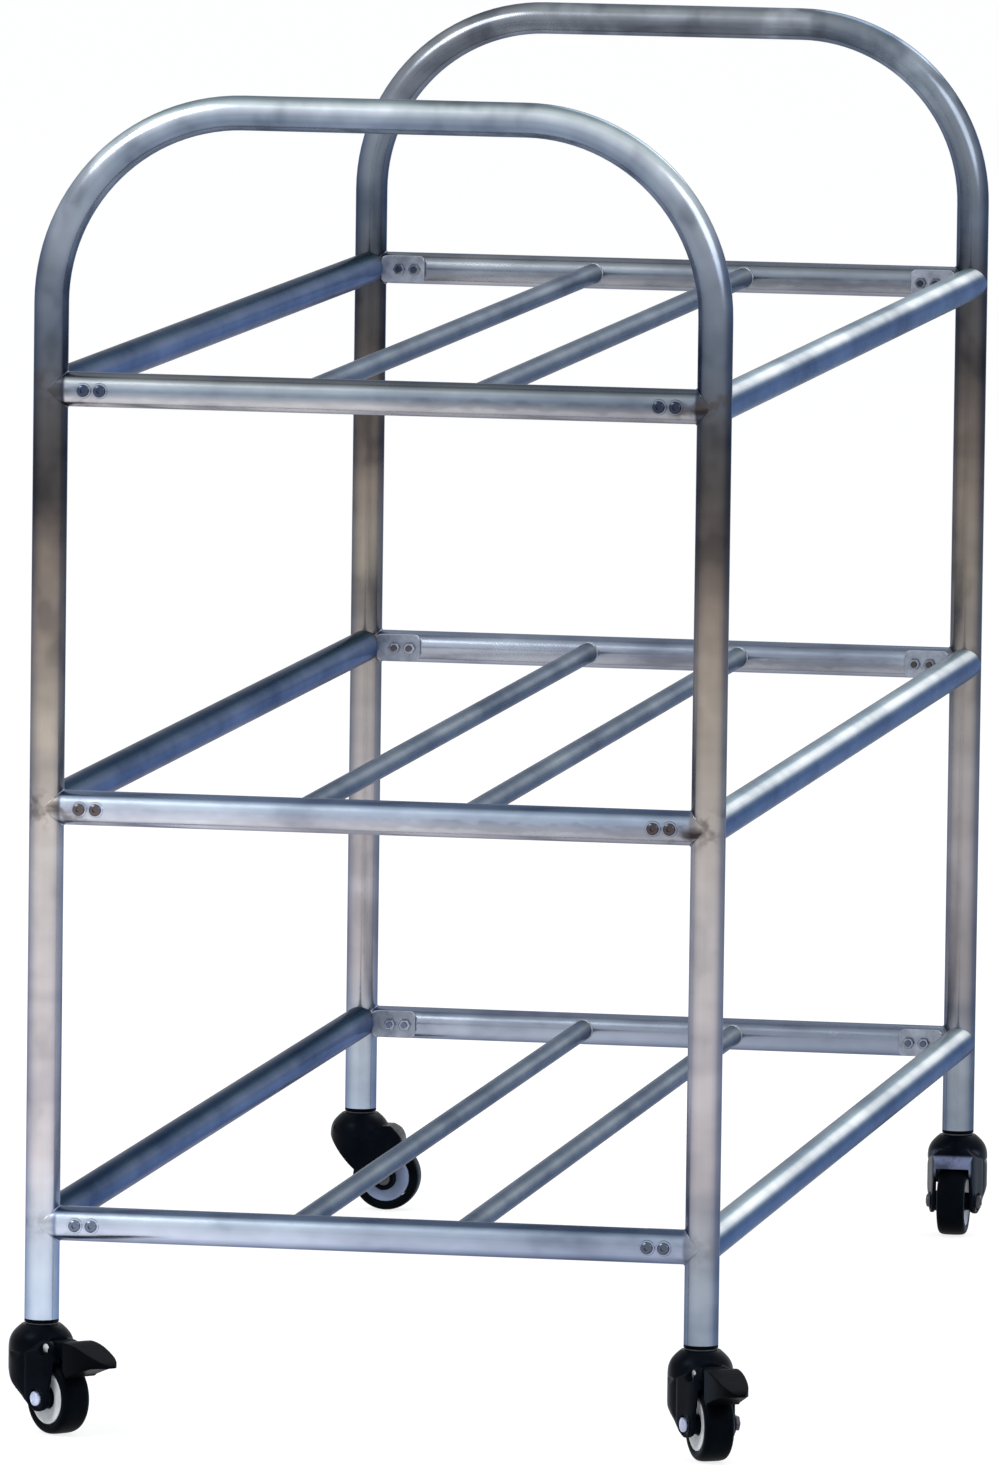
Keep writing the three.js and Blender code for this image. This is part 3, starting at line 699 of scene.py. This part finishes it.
def saddle(side, y, z):
    """The line on which a cross rail meets a post, and the way its weld leans."""
    line, lean = [], []
    for a in angles(SADDLE_STEPS):
        line.append((
            CENTRE_X + side * (POST_X - TUBE * abs(sin(a))),
            y + TUBE * cos(a),
            z + TUBE * sin(a),
        ))
        lean.append((-side * abs(sin(a)), 2 * cos(a), sin(a)))
    return line, lean


def saddle_size(share):
    """The weld is fine at the front and back of the joint and fuller above and below it."""
    return 0.2 + 0.6 * abs(sin(2 * pi * share)) ** 1.5


for end, y in END_Y.items():
    welds = Surface()
    for tier, z in TIERS.items():
        rings = cross_rings(TUBE, y, z) + cross_rings(TUBE - TUBE_WALL, y, z)[::-1]
        name = f"{tier}_{end}_rail"
        mesh = Surface().skin(rings, wrap=True).mesh()
        add(f"{name}_tube", mesh, [CROSS_STEEL], "frame", [name])
        for side in (-1, 1):
            bead(welds, *saddle(side, y, z), saddle_size)
    add(f"{end}_hoop_welds", welds.mesh(), [CROSS_STEEL], "frame")


# Rails down the sides, with tabs on their ends
COPE_GAP = 0.12
TAB_CORNER = 5.0
TAB_EDGE = 0.4


def side_rings(radius, side, z):
    """A side rail's two ends, coped to the post and, on its inner side, to the cross rail."""
    near, far = [], []
    for a in angles(RAIL_SIDES):
        x, up = radius * cos(a), radius * sin(a)
        to_post = sqrt(max(TUBE ** 2 - x * x, 0))
        to_cross_rail = sqrt(TUBE ** 2 - up * up) if side * x < 0 else 0
        reach = max(to_post, to_cross_rail) + COPE_GAP
        near.append((CENTRE_X + side * POST_X + x, FRONT.y + reach, z + up))
        far.append((CENTRE_X + side * POST_X + x, REAR.y - reach, z + up))
    return [near, far]


def tab_rings(side, end, z):
    """Flat tab with round corners, welded to the rail's end."""
    foot = TUBE - TUBE_WALL
    corners = [(foot, -TAB_HALF), (TAB_REACH, -TAB_HALF), (TAB_REACH, TAB_HALF), (foot, TAB_HALF)]
    depths = [(TAB_NEAR + GAP, TAB_EDGE), (TAB_NEAR, 0), (TAB_FAR - TAB_EDGE, 0), (TAB_FAR, TAB_EDGE)]
    rings = []
    for depth, inset in depths:
        ring = []
        for reach, up in rounded(corners, TAB_CORNER, 6):
            inward = -inset if reach > TAB_REACH / 2 else inset
            ring.append((
                CENTRE_X + side * (POST_X - reach - inward),
                END_Y[end] - END[end] * depth,
                z + up * (1 - inset / TAB_HALF),
            ))
        rings.append(ring)
    return rings


for tier, z in TIERS.items():
    for label, side in SIDE.items():
        name = f"{tier}_{label}_side_rail"
        surface = Surface()
        rings = side_rings(TUBE, side, z) + side_rings(TUBE - TUBE_WALL, side, z)[::-1]
        surface.skin(rings, wrap=True)
        for end in END:
            surface.skin(tab_rings(side, end, z), slots=[1] * 3)
        steel = RIGHT_STEEL if side > 0 else LEFT_STEEL
        add(f"{name}_tube", surface.mesh(), [steel, TAB_STEEL], "frame", [name])


# Rods, and the small welds where they enter the cross rails
def rod_joint(x, y, z, end):
    """The line on which a rod meets a cross rail, and the way its weld leans."""
    line, lean = [], []
    for a in angles(SMALL_SIDES):
        u, v = ROD * cos(a), ROD * sin(a)
        line.append((x + u, y - END[end] * sqrt(TUBE ** 2 - v * v), z + v))
        lean.append((cos(a), -END[end], sin(a)))
    return line, lean


def rippled_size(share, ripples=18):
    return 0.85 + 0.12 * sin(2 * pi * share * ripples)


for tier, z in TIERS.items():
    welds = Surface()
    for label, side in SIDE.items():
        name = f"{tier}_{label}_rod"
        x = CENTRE_X + side * ROD_X
        bore = ROD - ROD_WALL
        profile = [(ROD, -ROD_HALF), (ROD, ROD_HALF), (bore, ROD_HALF), (bore, -ROD_HALF)]
        mesh = turned(profile, ROD_SIDES, "y", (x, MIDDLE_Y, z), wrap=True).mesh()
        add(f"{name}_tube", mesh, [ROD_STEEL], "frame", [name])
        for end, y in END_Y.items():
            bead(welds, *rod_joint(x, y, z, end), rippled_size)
    add(f"{tier}_rod_welds", welds.mesh(), [WELD_STEEL], "frame")


# Screws with saddle washers through the cross rails into the tabs, and nuts behind the tabs
WASHER_HOLE = 2.9
WASHER_EDGE = 5.7
WASHER_THICK = 0.8
SHANK = 2.5


def hexagon(across):
    """The radius of a hexagon at an angle, from its width across the flats."""
    def radius(angle):
        return across / 2 / cos(angle % (pi / 3) - pi / 6)
    return radius


def washer_rings():
    """A washer bent to the tube, as rings about the screw's axis. The tube's outside faces -Y."""
    profile = [
        (WASHER_HOLE, 0.0), (WASHER_EDGE - 0.2, 0.0), (WASHER_EDGE, 0.25),
        (WASHER_EDGE - 0.25, WASHER_THICK), (WASHER_HOLE, WASHER_THICK),
    ]
    rings = []
    for radius, rise in profile:
        ring = []
        for a in angles(SMALL_SIDES):
            u, v = radius * cos(a), radius * sin(a)
            ring.append((u, -sqrt((TUBE + rise) ** 2 - v * v), v))
        rings.append(ring)
    return rings


def screw_surface():
    """Washer, domed head with a hex socket, nut and shank. The first material is the washer's and nut's."""
    surface = Surface()
    surface.skin(washer_rings(), wrap=True, slots=[0] * 5)
    base = -(TUBE + GAP)
    head = [(4.4, base), (4.4, base - 1.3), (4.1, base - 2.1), (3.3, base - 2.75), (2.3, base - 3.0)]
    socket = [(hexagon(3.0), base - 3.0), (hexagon(3.0), base - 1.4)]
    surface.skin(lathe_rings(head + socket, SMALL_SIDES, "y"), slots=[1] * 6)
    nut = [
        (hexagon(7.4), TAB_FAR + 0.1), (hexagon(8.0), TAB_FAR + 0.4),
        (hexagon(8.0), TAB_FAR + 3.4), (hexagon(7.2), TAB_FAR + 4.0),
    ]
    surface.skin(lathe_rings(nut, SMALL_SIDES, "y"), slots=[0] * 3)
    shank = [(SHANK, -TUBE), (SHANK, TAB_FAR + 5.4), (SHANK - 0.4, TAB_FAR + 5.9)]
    surface.skin(lathe_rings(shank, PIN_SIDES, "y"), slots=[1] * 2)
    return surface


SCREW = screw_surface().mesh(30)
for tier, z in TIERS.items():
    for end, y in END_Y.items():
        for label, side in SIDE.items():
            for order, inset in zip(("outer", "inner"), SCREW_INSETS):
                place = shift(CENTRE_X + side * (POST_X - inset), y, z)
                if end == "rear":
                    place = place @ Matrix.Rotation(pi, 4, "Z")
                name = f"{tier}_{end}_{label}_{order}_screw"
                # The washers and nuts take the cross rail's painted reflections and shade.
                add(name, SCREW, [CROSS_STEEL, SCREW_STEEL], "frame", matrix=place)


# Caster pieces. Their own frame has the stem on Z, the floor at zero and the wheel trailing to +X. The
# wheel, the axle and its nut are centred on the axle instead, and the brake's pin on its own axis.
class Mould:
    """Solids joined and cut one after another, then softened as a mould does."""

    def __init__(self):
        self.pieces = []

    def solid(self, surface, *steps):
        piece = put("mould", surface.mesh())
        self.pieces.append(piece)
        for operation, other in steps:
            cut = piece.modifiers.new("cut", "BOOLEAN")
            cut.operation = operation
            cut.object = self.solid(other) if isinstance(other, Surface) else other
            cut.solver = "EXACT"
        return piece

    def finish(self, piece, voxel, rounds, share):
        """Remeshes the piece as one skin, rounds off its edges and keeps a share of its faces."""
        fine = piece.modifiers.new("fine", "REMESH")
        fine.mode = "VOXEL"
        fine.voxel_size = voxel * MM
        soft = piece.modifiers.new("soft", "SMOOTH")
        soft.factor = 0.5
        soft.iterations = rounds
        light = piece.modifiers.new("light", "DECIMATE")
        light.ratio = share
        bpy.context.view_layer.update()
        graph = bpy.context.evaluated_depsgraph_get()
        mesh = bpy.data.meshes.new_from_object(piece.evaluated_get(graph))
        for used in self.pieces:
            data = used.data
            bpy.data.objects.remove(used)
            bpy.data.meshes.remove(data)
        mesh.materials.clear()
        return smooth(mesh, 60)


def prism(outline, low, high, axis):
    """An outline made solid along an axis. Its places lie along the other two axes."""
    order = "xyz".index(axis)
    rings = [[(*place[:order], depth, *place[order:]) for place in outline] for depth in (low, high)]
    return Surface().skin(rings)


def rod_along_y(radius, low, high, x, z, count):
    return turned([(radius, low), (radius, high)], count, "y", (x, 0, z))


def curve(a, b, c, steps=14):
    """A quadratic curve from a to c that bends towards b."""
    points = []
    for i in range(steps):
        t = i / steps
        points.append(tuple(
            a[k] * (1 - t) ** 2 + b[k] * 2 * t * (1 - t) + c[k] * t * t for k in range(2)
        ))
    return points


# Outlines of the fork. The edge, its bends and the tail are X and Z in side view, the side edge is
# half of the plan, the breadth and shoulder are half of the front view, and the dome and the hollow
# below it are radius and height.
FRONT_EDGE = (-23.3, 59.0)
FRONT_BEND = (-9.1, 36.8)
REAR_BEND = (32.6, 38.3)
LEG_END = 9.5
HOOD_FRONT = -19.2
TAIL = [(34.6, 50.6), (35.3, 56.7), (32.6, 62.0), (29.3, 65.5), (25.9, 67.8)]
SIDE_EDGE = [(12.0, 21.4), (20.7, 19.0), (29.3, 16.6), (34.1, 13.9), (36.0, 8.6)]
BREADTH = [(20.2, 7.7), (21.1, 25.3), (22.8, 32.5), (23.7, 39.8), (23.8, 46), (23.7, 52.1), (22.3, 57.5)]
SHOULDER = [(22.3, 57.5), (18.8, 61.4), (14.4, 65.1), (10.8, 68.2)]
DOME = [(HOOD, 58.2), (23.2, 64.3), (21.4, 69.3), (18.1, 73.5), (13.9, 77.2), (12.8, SEAT)]
HOLLOW = [(7.9, 44.4), (19.2, 56.7), (19.2, 64.3), (16.3, 68.9), (13.5, 73.8)]


def fork_edge():
    """The fork in side view, from the front of the hood round the leg's end to the tail."""
    down = atan2(AXLE_Z - FRONT_BEND[1], TRAIL - FRONT_BEND[0]) - pi / 2
    up = pi / 6
    start = (TRAIL + LEG_END * cos(down), AXLE_Z + LEG_END * sin(down))
    finish = (TRAIL + LEG_END * cos(up), AXLE_Z + LEG_END * sin(up))
    points = curve(FRONT_EDGE, FRONT_BEND, start)
    steps = 20
    for i in range(steps):
        a = down + (up - down) * i / steps
        points.append((TRAIL + LEG_END * cos(a), AXLE_Z + LEG_END * sin(a)))
    points += curve(finish, REAR_BEND, TAIL[0])
    return points + flowing(TAIL, 5) + [(HOOD_FRONT, TAIL[-1][1])]


def mirrored(half):
    return half + [(-u, v) for u, v in reversed(half)]


def fork_plan(inset):
    """The fork seen from above: the round of the hood, then sides that draw in to the tail."""
    radius = HOOD - inset
    scale = radius / HOOD
    side = [(x * scale, y * scale) for x, y in flowing(SIDE_EDGE, 4)]
    begin = atan2(side[0][1], side[0][0])
    steps = 30
    half = []
    for i in range(1, steps):
        a = pi + (begin - pi) * i / steps
        half.append((radius * cos(a), radius * sin(a)))
    half += side
    return half + [(x, -y) for x, y in reversed(half)]


# Where the solids that cut the fork and the pedal end, and how near its axis a turned solid closes
BESIDE = 40
LENGTHWAYS = 50
BELOW = -6
ABOVE = 90
STEM_HOLE_FOOT = 38
SLOT_FRONT = 20.7
SLOT_REAR = 80
SLOT_TOP = 84
AXIS = 0.02


def fork_breadth(inset):
    """The fork seen from its front, with a slope from its sides up to the top of the tail."""
    return mirrored([(y - inset, z) for y, z in flowing(BREADTH, 3)[:-1] + flowing(SHOULDER, 4)])


def wheel_room(half):
    """Room for the wheel, open downward, as an outline in X and Z given a thickness."""
    front, rear, steps = -60, 90, 48
    points = [(front, BELOW), (rear, BELOW), (rear, AXLE_Z)]
    for i in range(steps + 1):
        a = pi * i / steps
        points.append((TRAIL + WHEEL_ROOM * cos(a), AXLE_Z + WHEEL_ROOM * sin(a)))
    return prism(points + [(front, AXLE_Z)], -half, half, "y")


def both_sides(low, high):
    """The spans from low to high on both sides of the caster's middle plane, towards -Y first."""
    return [(-high, -low), (low, high)]


def fork_mesh(braked):
    mould = Mould()
    cavity = mould.solid(
        wheel_room(BESIDE),
        ("INTERSECT", prism(fork_plan(SHELL_WALL), BELOW - 2, ABOVE, "z")),
        ("INTERSECT", prism(fork_breadth(SHELL_WALL), -LENGTHWAYS, LENGTHWAYS, "x")),
    )
    dome = flowing(DOME[:5], 5) + [DOME[5]]
    hollow = [(AXIS, HOLLOW[0][1]), *HOLLOW, (AXIS, HOLLOW[-1][1])]
    steps = [
        ("INTERSECT", prism(fork_plan(0), 0, ABOVE, "z")),
        ("INTERSECT", prism(fork_breadth(0), -LENGTHWAYS, LENGTHWAYS, "x")),
        ("UNION", turned([(AXIS, DOME[0][1]), *dome, (AXIS, SEAT)], WHEEL_SIDES)),
        ("DIFFERENCE", cavity),
        ("DIFFERENCE", wheel_room(CHEEK_IN)),
        ("DIFFERENCE", turned(hollow, WHEEL_SIDES)),
    ]
    for boss, seat in zip(both_sides(CHEEK_IN, AXLE_SEAT), both_sides(AXLE_SEAT, BESIDE)):
        steps.append(("UNION", rod_along_y(BOSS, *boss, TRAIL, AXLE_Z, SMALL_SIDES)))
        steps.append(("DIFFERENCE", rod_along_y(SPOT_FACE, *seat, TRAIL, AXLE_Z, SMALL_SIDES)))
    steps.append(("DIFFERENCE", turned([(STEM_HOLE, STEM_HOLE_FOOT), (STEM_HOLE, ABOVE)], SMALL_SIDES)))
    steps.append(("DIFFERENCE", rod_along_y(AXLE_HOLE, -BESIDE, BESIDE, TRAIL, AXLE_Z, ROD_SIDES)))
    if braked:
        half = NECK + GAP
        slot = [(SLOT_FRONT, -half), (SLOT_REAR, -half), (SLOT_REAR, half), (SLOT_FRONT, half)]
        steps.append(("DIFFERENCE", prism(slot, AXLE_Z, SLOT_TOP, "z")))
        steps.append(("DIFFERENCE", rod_along_y(PIN_HOLE, -BESIDE, BESIDE, *PIVOT, PIN_SIDES)))
        for span in both_sides(CHEEK_IN, BESIDE):
            steps.append(("DIFFERENCE", rod_along_y(PIN_SEAT, *span, *PIVOT, ROD_SIDES)))
    fork = mould.solid(prism(fork_edge(), -BESIDE, BESIDE, "y"), *steps)
    return mould.finish(fork, voxel=0.5, rounds=6, share=0.16)


# Pedal. Its top and underside are X and Z in side view, and the flare is where its plan widens in X.
PEDAL_REACH = 91.1
PEDAL_HALF = 12.5
PEDAL_TOP = [(24.0, 67.4), (35.0, 67.8), (46.9, 69.5), (59.8, 67.9), (73.6, 63.9), (85.6, 59.8), (91.1, 57.0)]
PEDAL_UNDER = [(90.0, 55.4), (79.1, 54.2), (64.4, 50.0), (54.3, 46.6), (47.0, 44.6), (24.0, 53.6)]
FLARE = (38.6, 46.0)
EYE = 5
TYRE_ROOM = 32.4
TYRE_ROOM_HALF = 20
PIN_HOLE_HALF = 30
GROOVE = 1.1
GROOVE_HALF = 8
GROOVES = [(62.0, 68.3), (66.6, 67.1), (71.2, 65.7)]


def pedal_mesh():
    edge = curve((FLARE[1], PEDAL_HALF), (PEDAL_REACH, PEDAL_HALF), (PEDAL_REACH, 0), 20)
    side = [(0, NECK), (FLARE[0], NECK), *edge]
    plan = side + [(PEDAL_REACH, 0)] + [(x, -y) for x, y in reversed(side)]
    steps = [
        ("INTERSECT", prism(plan, 0, ABOVE, "z")),
        ("UNION", rod_along_y(EYE, -NECK, NECK, *PIVOT, SMALL_SIDES)),
        ("DIFFERENCE", rod_along_y(TYRE_ROOM, -TYRE_ROOM_HALF, TYRE_ROOM_HALF, TRAIL, AXLE_Z, TREAD_SIDES)),
        ("DIFFERENCE", rod_along_y(PIN_HOLE, -PIN_HOLE_HALF, PIN_HOLE_HALF, *PIVOT, PIN_SIDES)),
    ]
    for place in GROOVES:
        steps.append(("DIFFERENCE", rod_along_y(GROOVE, -GROOVE_HALF, GROOVE_HALF, *place, GROOVE_SIDES)))
    mould = Mould()
    lever = prism(flowing(PEDAL_TOP, 6) + flowing(PEDAL_UNDER, 6), -PEDAL_HALF, PEDAL_HALF, "y")
    return mould.finish(mould.solid(lever, *steps), voxel=0.42, rounds=5, share=0.2)


def both_faces(half):
    """A wheel's whole profile of radii and places along the axle, from half of it."""
    return [(r, -p) for r, p in half] + half[::-1]


def core_surface():
    """Dark hub in a pale web that fills the tyre, with a raised lip at its edge."""
    half = [
        (3.3, 12.7), (6.5, 12.7), (7.0, 12.2), (7.0, 8.9), (8.2, 8.7),
        (8.6, 9.0), (12.0, 9.3), (16.6, 9.9), (17.6, 10.4), (18.8, 10.4), (19.2, 9.9),
    ]
    dark, pale = 1, 0
    slots = [dark] * 4 + [pale] * 6
    order = slots + [pale] + slots[::-1] + [dark]
    return turned(both_faces(half), WHEEL_SIDES, "y", wrap=True, slots=order)


def tyre_surface():
    half = flowing([(19.6, 10.5), (21.2, 10.9), (23.4, 10.9), (25.2, 9.9), (26.2, 8.0), (26.6, 5.0)], 4)
    half.append((WHEEL_RADIUS, 2.0))
    return turned(both_faces(half), TREAD_SIDES, "y", wrap=True)


def axle_surface():
    """Round-headed axle bolt. The head is towards -Y and the thread's end towards +Y."""
    seat = AXLE_SEAT + GAP
    head = [(5.2, -seat), (5.4, -seat - 1.6), (5.0, -seat - 2.6), (4.0, -seat - 3.2), (2.4, -seat - 3.5)]
    socket = [(2.2, -seat - 3.3), (1.0, -seat - 3.2)]
    shank = [(2.95, -seat), (2.95, seat + 3.8), (2.5, seat + 4.1)]
    return turned(socket[::-1] + head[::-1] + shank, SMALL_SIDES, "y")


def nut_surface():
    low = AXLE_SEAT + GAP
    profile = [
        (3.2, low), (hexagon(9.4), low), (hexagon(10.0), low + 0.35), (hexagon(10.0), low + 2.8),
        (hexagon(9.2), low + 3.2), (3.2, low + 3.2),
    ]
    return turned(profile, SMALL_SIDES, "y", wrap=True)


def pin_surface():
    half = CHEEK_IN + GAP
    profile = [
        (0.4, -half - 1.0), (2.6, -half - 1.0), (3.4, -half - 0.5), (3.4, -half), (1.95, -half),
        (1.95, half), (3.4, half), (3.4, half + 0.5), (2.6, half + 1.0), (0.4, half + 1.0),
    ]
    return turned(profile, ROD_SIDES, "y")


def insert_surface():
    insert, flange_top, top = 10.9, 80.5, 108.5
    outline = [
        (STEM_HOLE, CASTER_TOP), (TUBE, CASTER_TOP), (TUBE, flange_top),
        (insert, flange_top), (insert, top), (STEM_HOLE, top),
    ]
    return turned(rounded(outline, 0.5, 3), PLUG_SIDES, wrap=True)


def race_surface():
    race, low, high = 11.9, SEAT + GAP, CASTER_TOP - GAP
    outline = [(STEM_HOLE, low), (race, low), (race, high), (STEM_HOLE, high)]
    return turned(rounded(outline, 0.4, 3), PLUG_SIDES, wrap=True)


def stem_surface():
    seat = SEAT - 3.1
    head = [(0.4, seat - 3), (7.4, seat - 3), (8, seat - 2.4), (8, seat)]
    profile = head + [(THREAD, seat), (THREAD, 103), (THREAD - 0.6, 103.5), (0.4, 103.5)]
    return turned(profile, SMALL_SIDES)


FORKS = {True: fork_mesh(True), False: fork_mesh(False)}
PEDAL = pedal_mesh()
CORE = core_surface().mesh(30)
TYRE = tyre_surface().mesh(40)
AXLE = axle_surface().mesh(30)
NUT = nut_surface().mesh(30)
PIN = pin_surface().mesh(30)
INSERT = insert_surface().mesh(30)
RACE = race_surface().mesh(30)
STEM = stem_surface().mesh(30)

for name, (side, end, turn, braked) in CASTERS.items():
    post = shift(CENTRE_X + side * POST_X, END_Y[end], 0)
    swung = post @ Matrix.Rotation(radians(turn), 4, "Z")
    wheel = swung @ shift(TRAIL, 0, AXLE_Z)
    pivot = swung @ shift(PIVOT[0], 0, PIVOT[1])
    swivel, spin, lever = f"{name}_swivel", f"{name}_wheel", f"{name}_brake"
    # The rear right hood carries a painted highlight and the front axle heads a painted highlight. The rear
    # axle heads and rims are in painted shade.
    hood = PAINTED_HIGHLIGHT_BLACK if name == "rear_right" else HOOD_BLACK
    head = LIT_AXLE_HEAD if braked else ZINC_IN_PAINTED_SHADE
    rim = RIM_GREY if braked else RIM_IN_PAINTED_SHADE
    pieces = [
        ("leg_plug", INSERT, [PEDAL_BLACK], "frame", "black_plastic", "leg_insert", post),
        ("race_ring", RACE, [ZINC_IN_PAINTED_SHADE], "frame", "zinc_steel", "swivel_race", post),
        ("stem_post", STEM, [ZINC], "frame", "zinc_steel", "caster_stem", post),
        ("fork_shell", FORKS[braked], [hood], swivel, "black_fork", "caster_fork", swung),
        ("axle_bolt", AXLE, [head], swivel, "zinc_steel", "wheel_axle", wheel),
        ("hex_nut", NUT, [ZINC_IN_PAINTED_SHADE], swivel, "zinc_steel", "axle_nut", wheel),
        ("tread", TYRE, [TREAD_BLACK], spin, "black_tyre", "tyre", wheel),
        ("core_shell", CORE, [rim, CORE_BLACK], spin, "wheel_core", "wheel_core", wheel),
    ]
    if braked:
        pieces.append(("rivet", PIN, [ZINC], swivel, "zinc_steel", "brake_pin", pivot))
        pieces.append(("pedal_lever", PEDAL, [PEDAL_BLACK], lever, "black_plastic", "brake_pedal", swung))
    for piece, mesh, materials, body, slot, node, matrix in pieces:
        add(f"{name}_{piece}", mesh, materials, body, [f"{name}_{node}"], matrix)


# Stage: a pale floor, a white surround and soft lamps
FLOOR_REACH = 60.0
FLOOR_DROP = 0.0002


def plain_shader(tree, kind, colour, strength=None):
    node = tree.nodes.new("ShaderNode" + kind)
    node.inputs["Color"].default_value = (*colour, 1)
    if strength is not None:
        node.inputs["Strength"].default_value = strength
    return node


def white_to_sight(tree, output, plain, shown):
    """Gives one shader to camera, mirror and glass rays, and the plain one to all others."""
    path = tree.nodes.new("ShaderNodeLightPath")
    seen = path.outputs["Is Camera Ray"]
    for ray in ("Is Glossy Ray", "Is Transmission Ray"):
        either = tree.nodes.new("ShaderNodeMath")
        either.operation = "MAXIMUM"
        tree.links.new(seen, either.inputs[0])
        tree.links.new(path.outputs[ray], either.inputs[1])
        seen = either.outputs[0]
    mix = tree.nodes.new("ShaderNodeMixShader")
    tree.links.new(seen, mix.inputs[0])
    tree.links.new(plain.outputs[0], mix.inputs[1])
    tree.links.new(shown.outputs[0], mix.inputs[2])
    tree.links.new(mix.outputs[0], output.inputs["Surface"])


def floor_material():
    """Glows nearly white to sight, with the object's shadow on it, and lights the object as a grey floor."""
    material = bpy.data.materials.new("pale_floor")
    material.use_nodes = True
    tree = material.node_tree
    tree.nodes.clear()
    output = tree.nodes.new("ShaderNodeOutputMaterial")
    matt = plain_shader(tree, "BsdfDiffuse", even(0.32))
    glow = plain_shader(tree, "Emission", even(1.0), 0.8)
    both = tree.nodes.new("ShaderNodeAddShader")
    tree.links.new(matt.outputs[0], both.inputs[0])
    tree.links.new(glow.outputs[0], both.inputs[1])
    white_to_sight(tree, output, plain_shader(tree, "BsdfDiffuse", even(0.5)), both)
    return material


floor_mesh = bpy.data.meshes.new("floor")
corners = [(-1, -1), (1, -1), (1, 1), (-1, 1)]
floor_mesh.from_pydata([(x * FLOOR_REACH, y * FLOOR_REACH, 0) for x, y in corners], [], [(0, 1, 2, 3)])
floor_mesh.materials.append(floor_material())
floor = put("floor", floor_mesh)
floor.location.z = -FLOOR_DROP

world = bpy.data.worlds.new("soft_white")
bpy.context.scene.world = world
world.use_nodes = True
world_tree = world.node_tree
world_tree.nodes.clear()
world_output = world_tree.nodes.new("ShaderNodeOutputWorld")
dim_sky = plain_shader(world_tree, "Background", (0.97, 0.98, 1.0), 0.62)
white_sky = plain_shader(world_tree, "Background", even(1.0), 1.0)
white_to_sight(world_tree, world_output, dim_sky, white_sky)


def lamp(name, place, size, power, aim=(0, 0, 0.4)):
    data = bpy.data.lights.new(name, "AREA")
    data.shape = "DISK"
    data.size = size
    data.energy = power
    light = put(name, data)
    light.location = place
    light.rotation_mode = "QUATERNION"
    light.rotation_quaternion = (Vector(aim) - Vector(place)).to_track_quat("-Z", "Y")


lamp("key_softbox", (-2.4, -2.6, 3.6), 2.2, 85)
lamp("fill_softbox", (3.0, -1.6, 2.2), 2.4, 35)
lamp("back_softbox", (0.8, 3.2, 3.2), 2.4, 40)

# Camera at the photograph's angle: angles in degrees, distance in metres and its target in millimetres
# from the front hoop's middle and the floor. The long side of its picture is 1468 pixels.
AZIMUTH = radians(10.40)
ELEVATION = radians(6.10)
ROLL = radians(0.75)
DISTANCE = 11.357
TARGET_SIDE = -3.7
TARGET_BEHIND = 500
TARGET_HEIGHT = 458.4
FOCAL_PIXELS = 15260
LONG_SIDE = 1468
SENSOR = 36.0
towards = Vector((
    sin(AZIMUTH) * cos(ELEVATION), -cos(AZIMUTH) * cos(ELEVATION), sin(ELEVATION),
))
target = Vector((CENTRE_X + TARGET_SIDE, FRONT.y + TARGET_BEHIND, TARGET_HEIGHT)) * MM
right = (-towards).cross(Vector((0, 0, 1))).normalized()
down = (-towards).cross(right)
level_x = right * cos(ROLL) - down * sin(ROLL)
level_y = -(right * sin(ROLL) + down * cos(ROLL))
view = Matrix((level_x, level_y, towards)).transposed().to_4x4()
camera_data = bpy.data.cameras.new("camera")
camera_data.sensor_width = SENSOR
camera_data.lens = FOCAL_PIXELS * SENSOR / LONG_SIDE
camera_data.clip_start = 0.1
camera_data.clip_end = 200
camera = put("camera", camera_data)
camera.matrix_world = Matrix.Translation(target + towards * DISTANCE) @ view
bpy.context.scene.camera = camera
bpy.context.scene.view_settings.view_transform = "Standard"
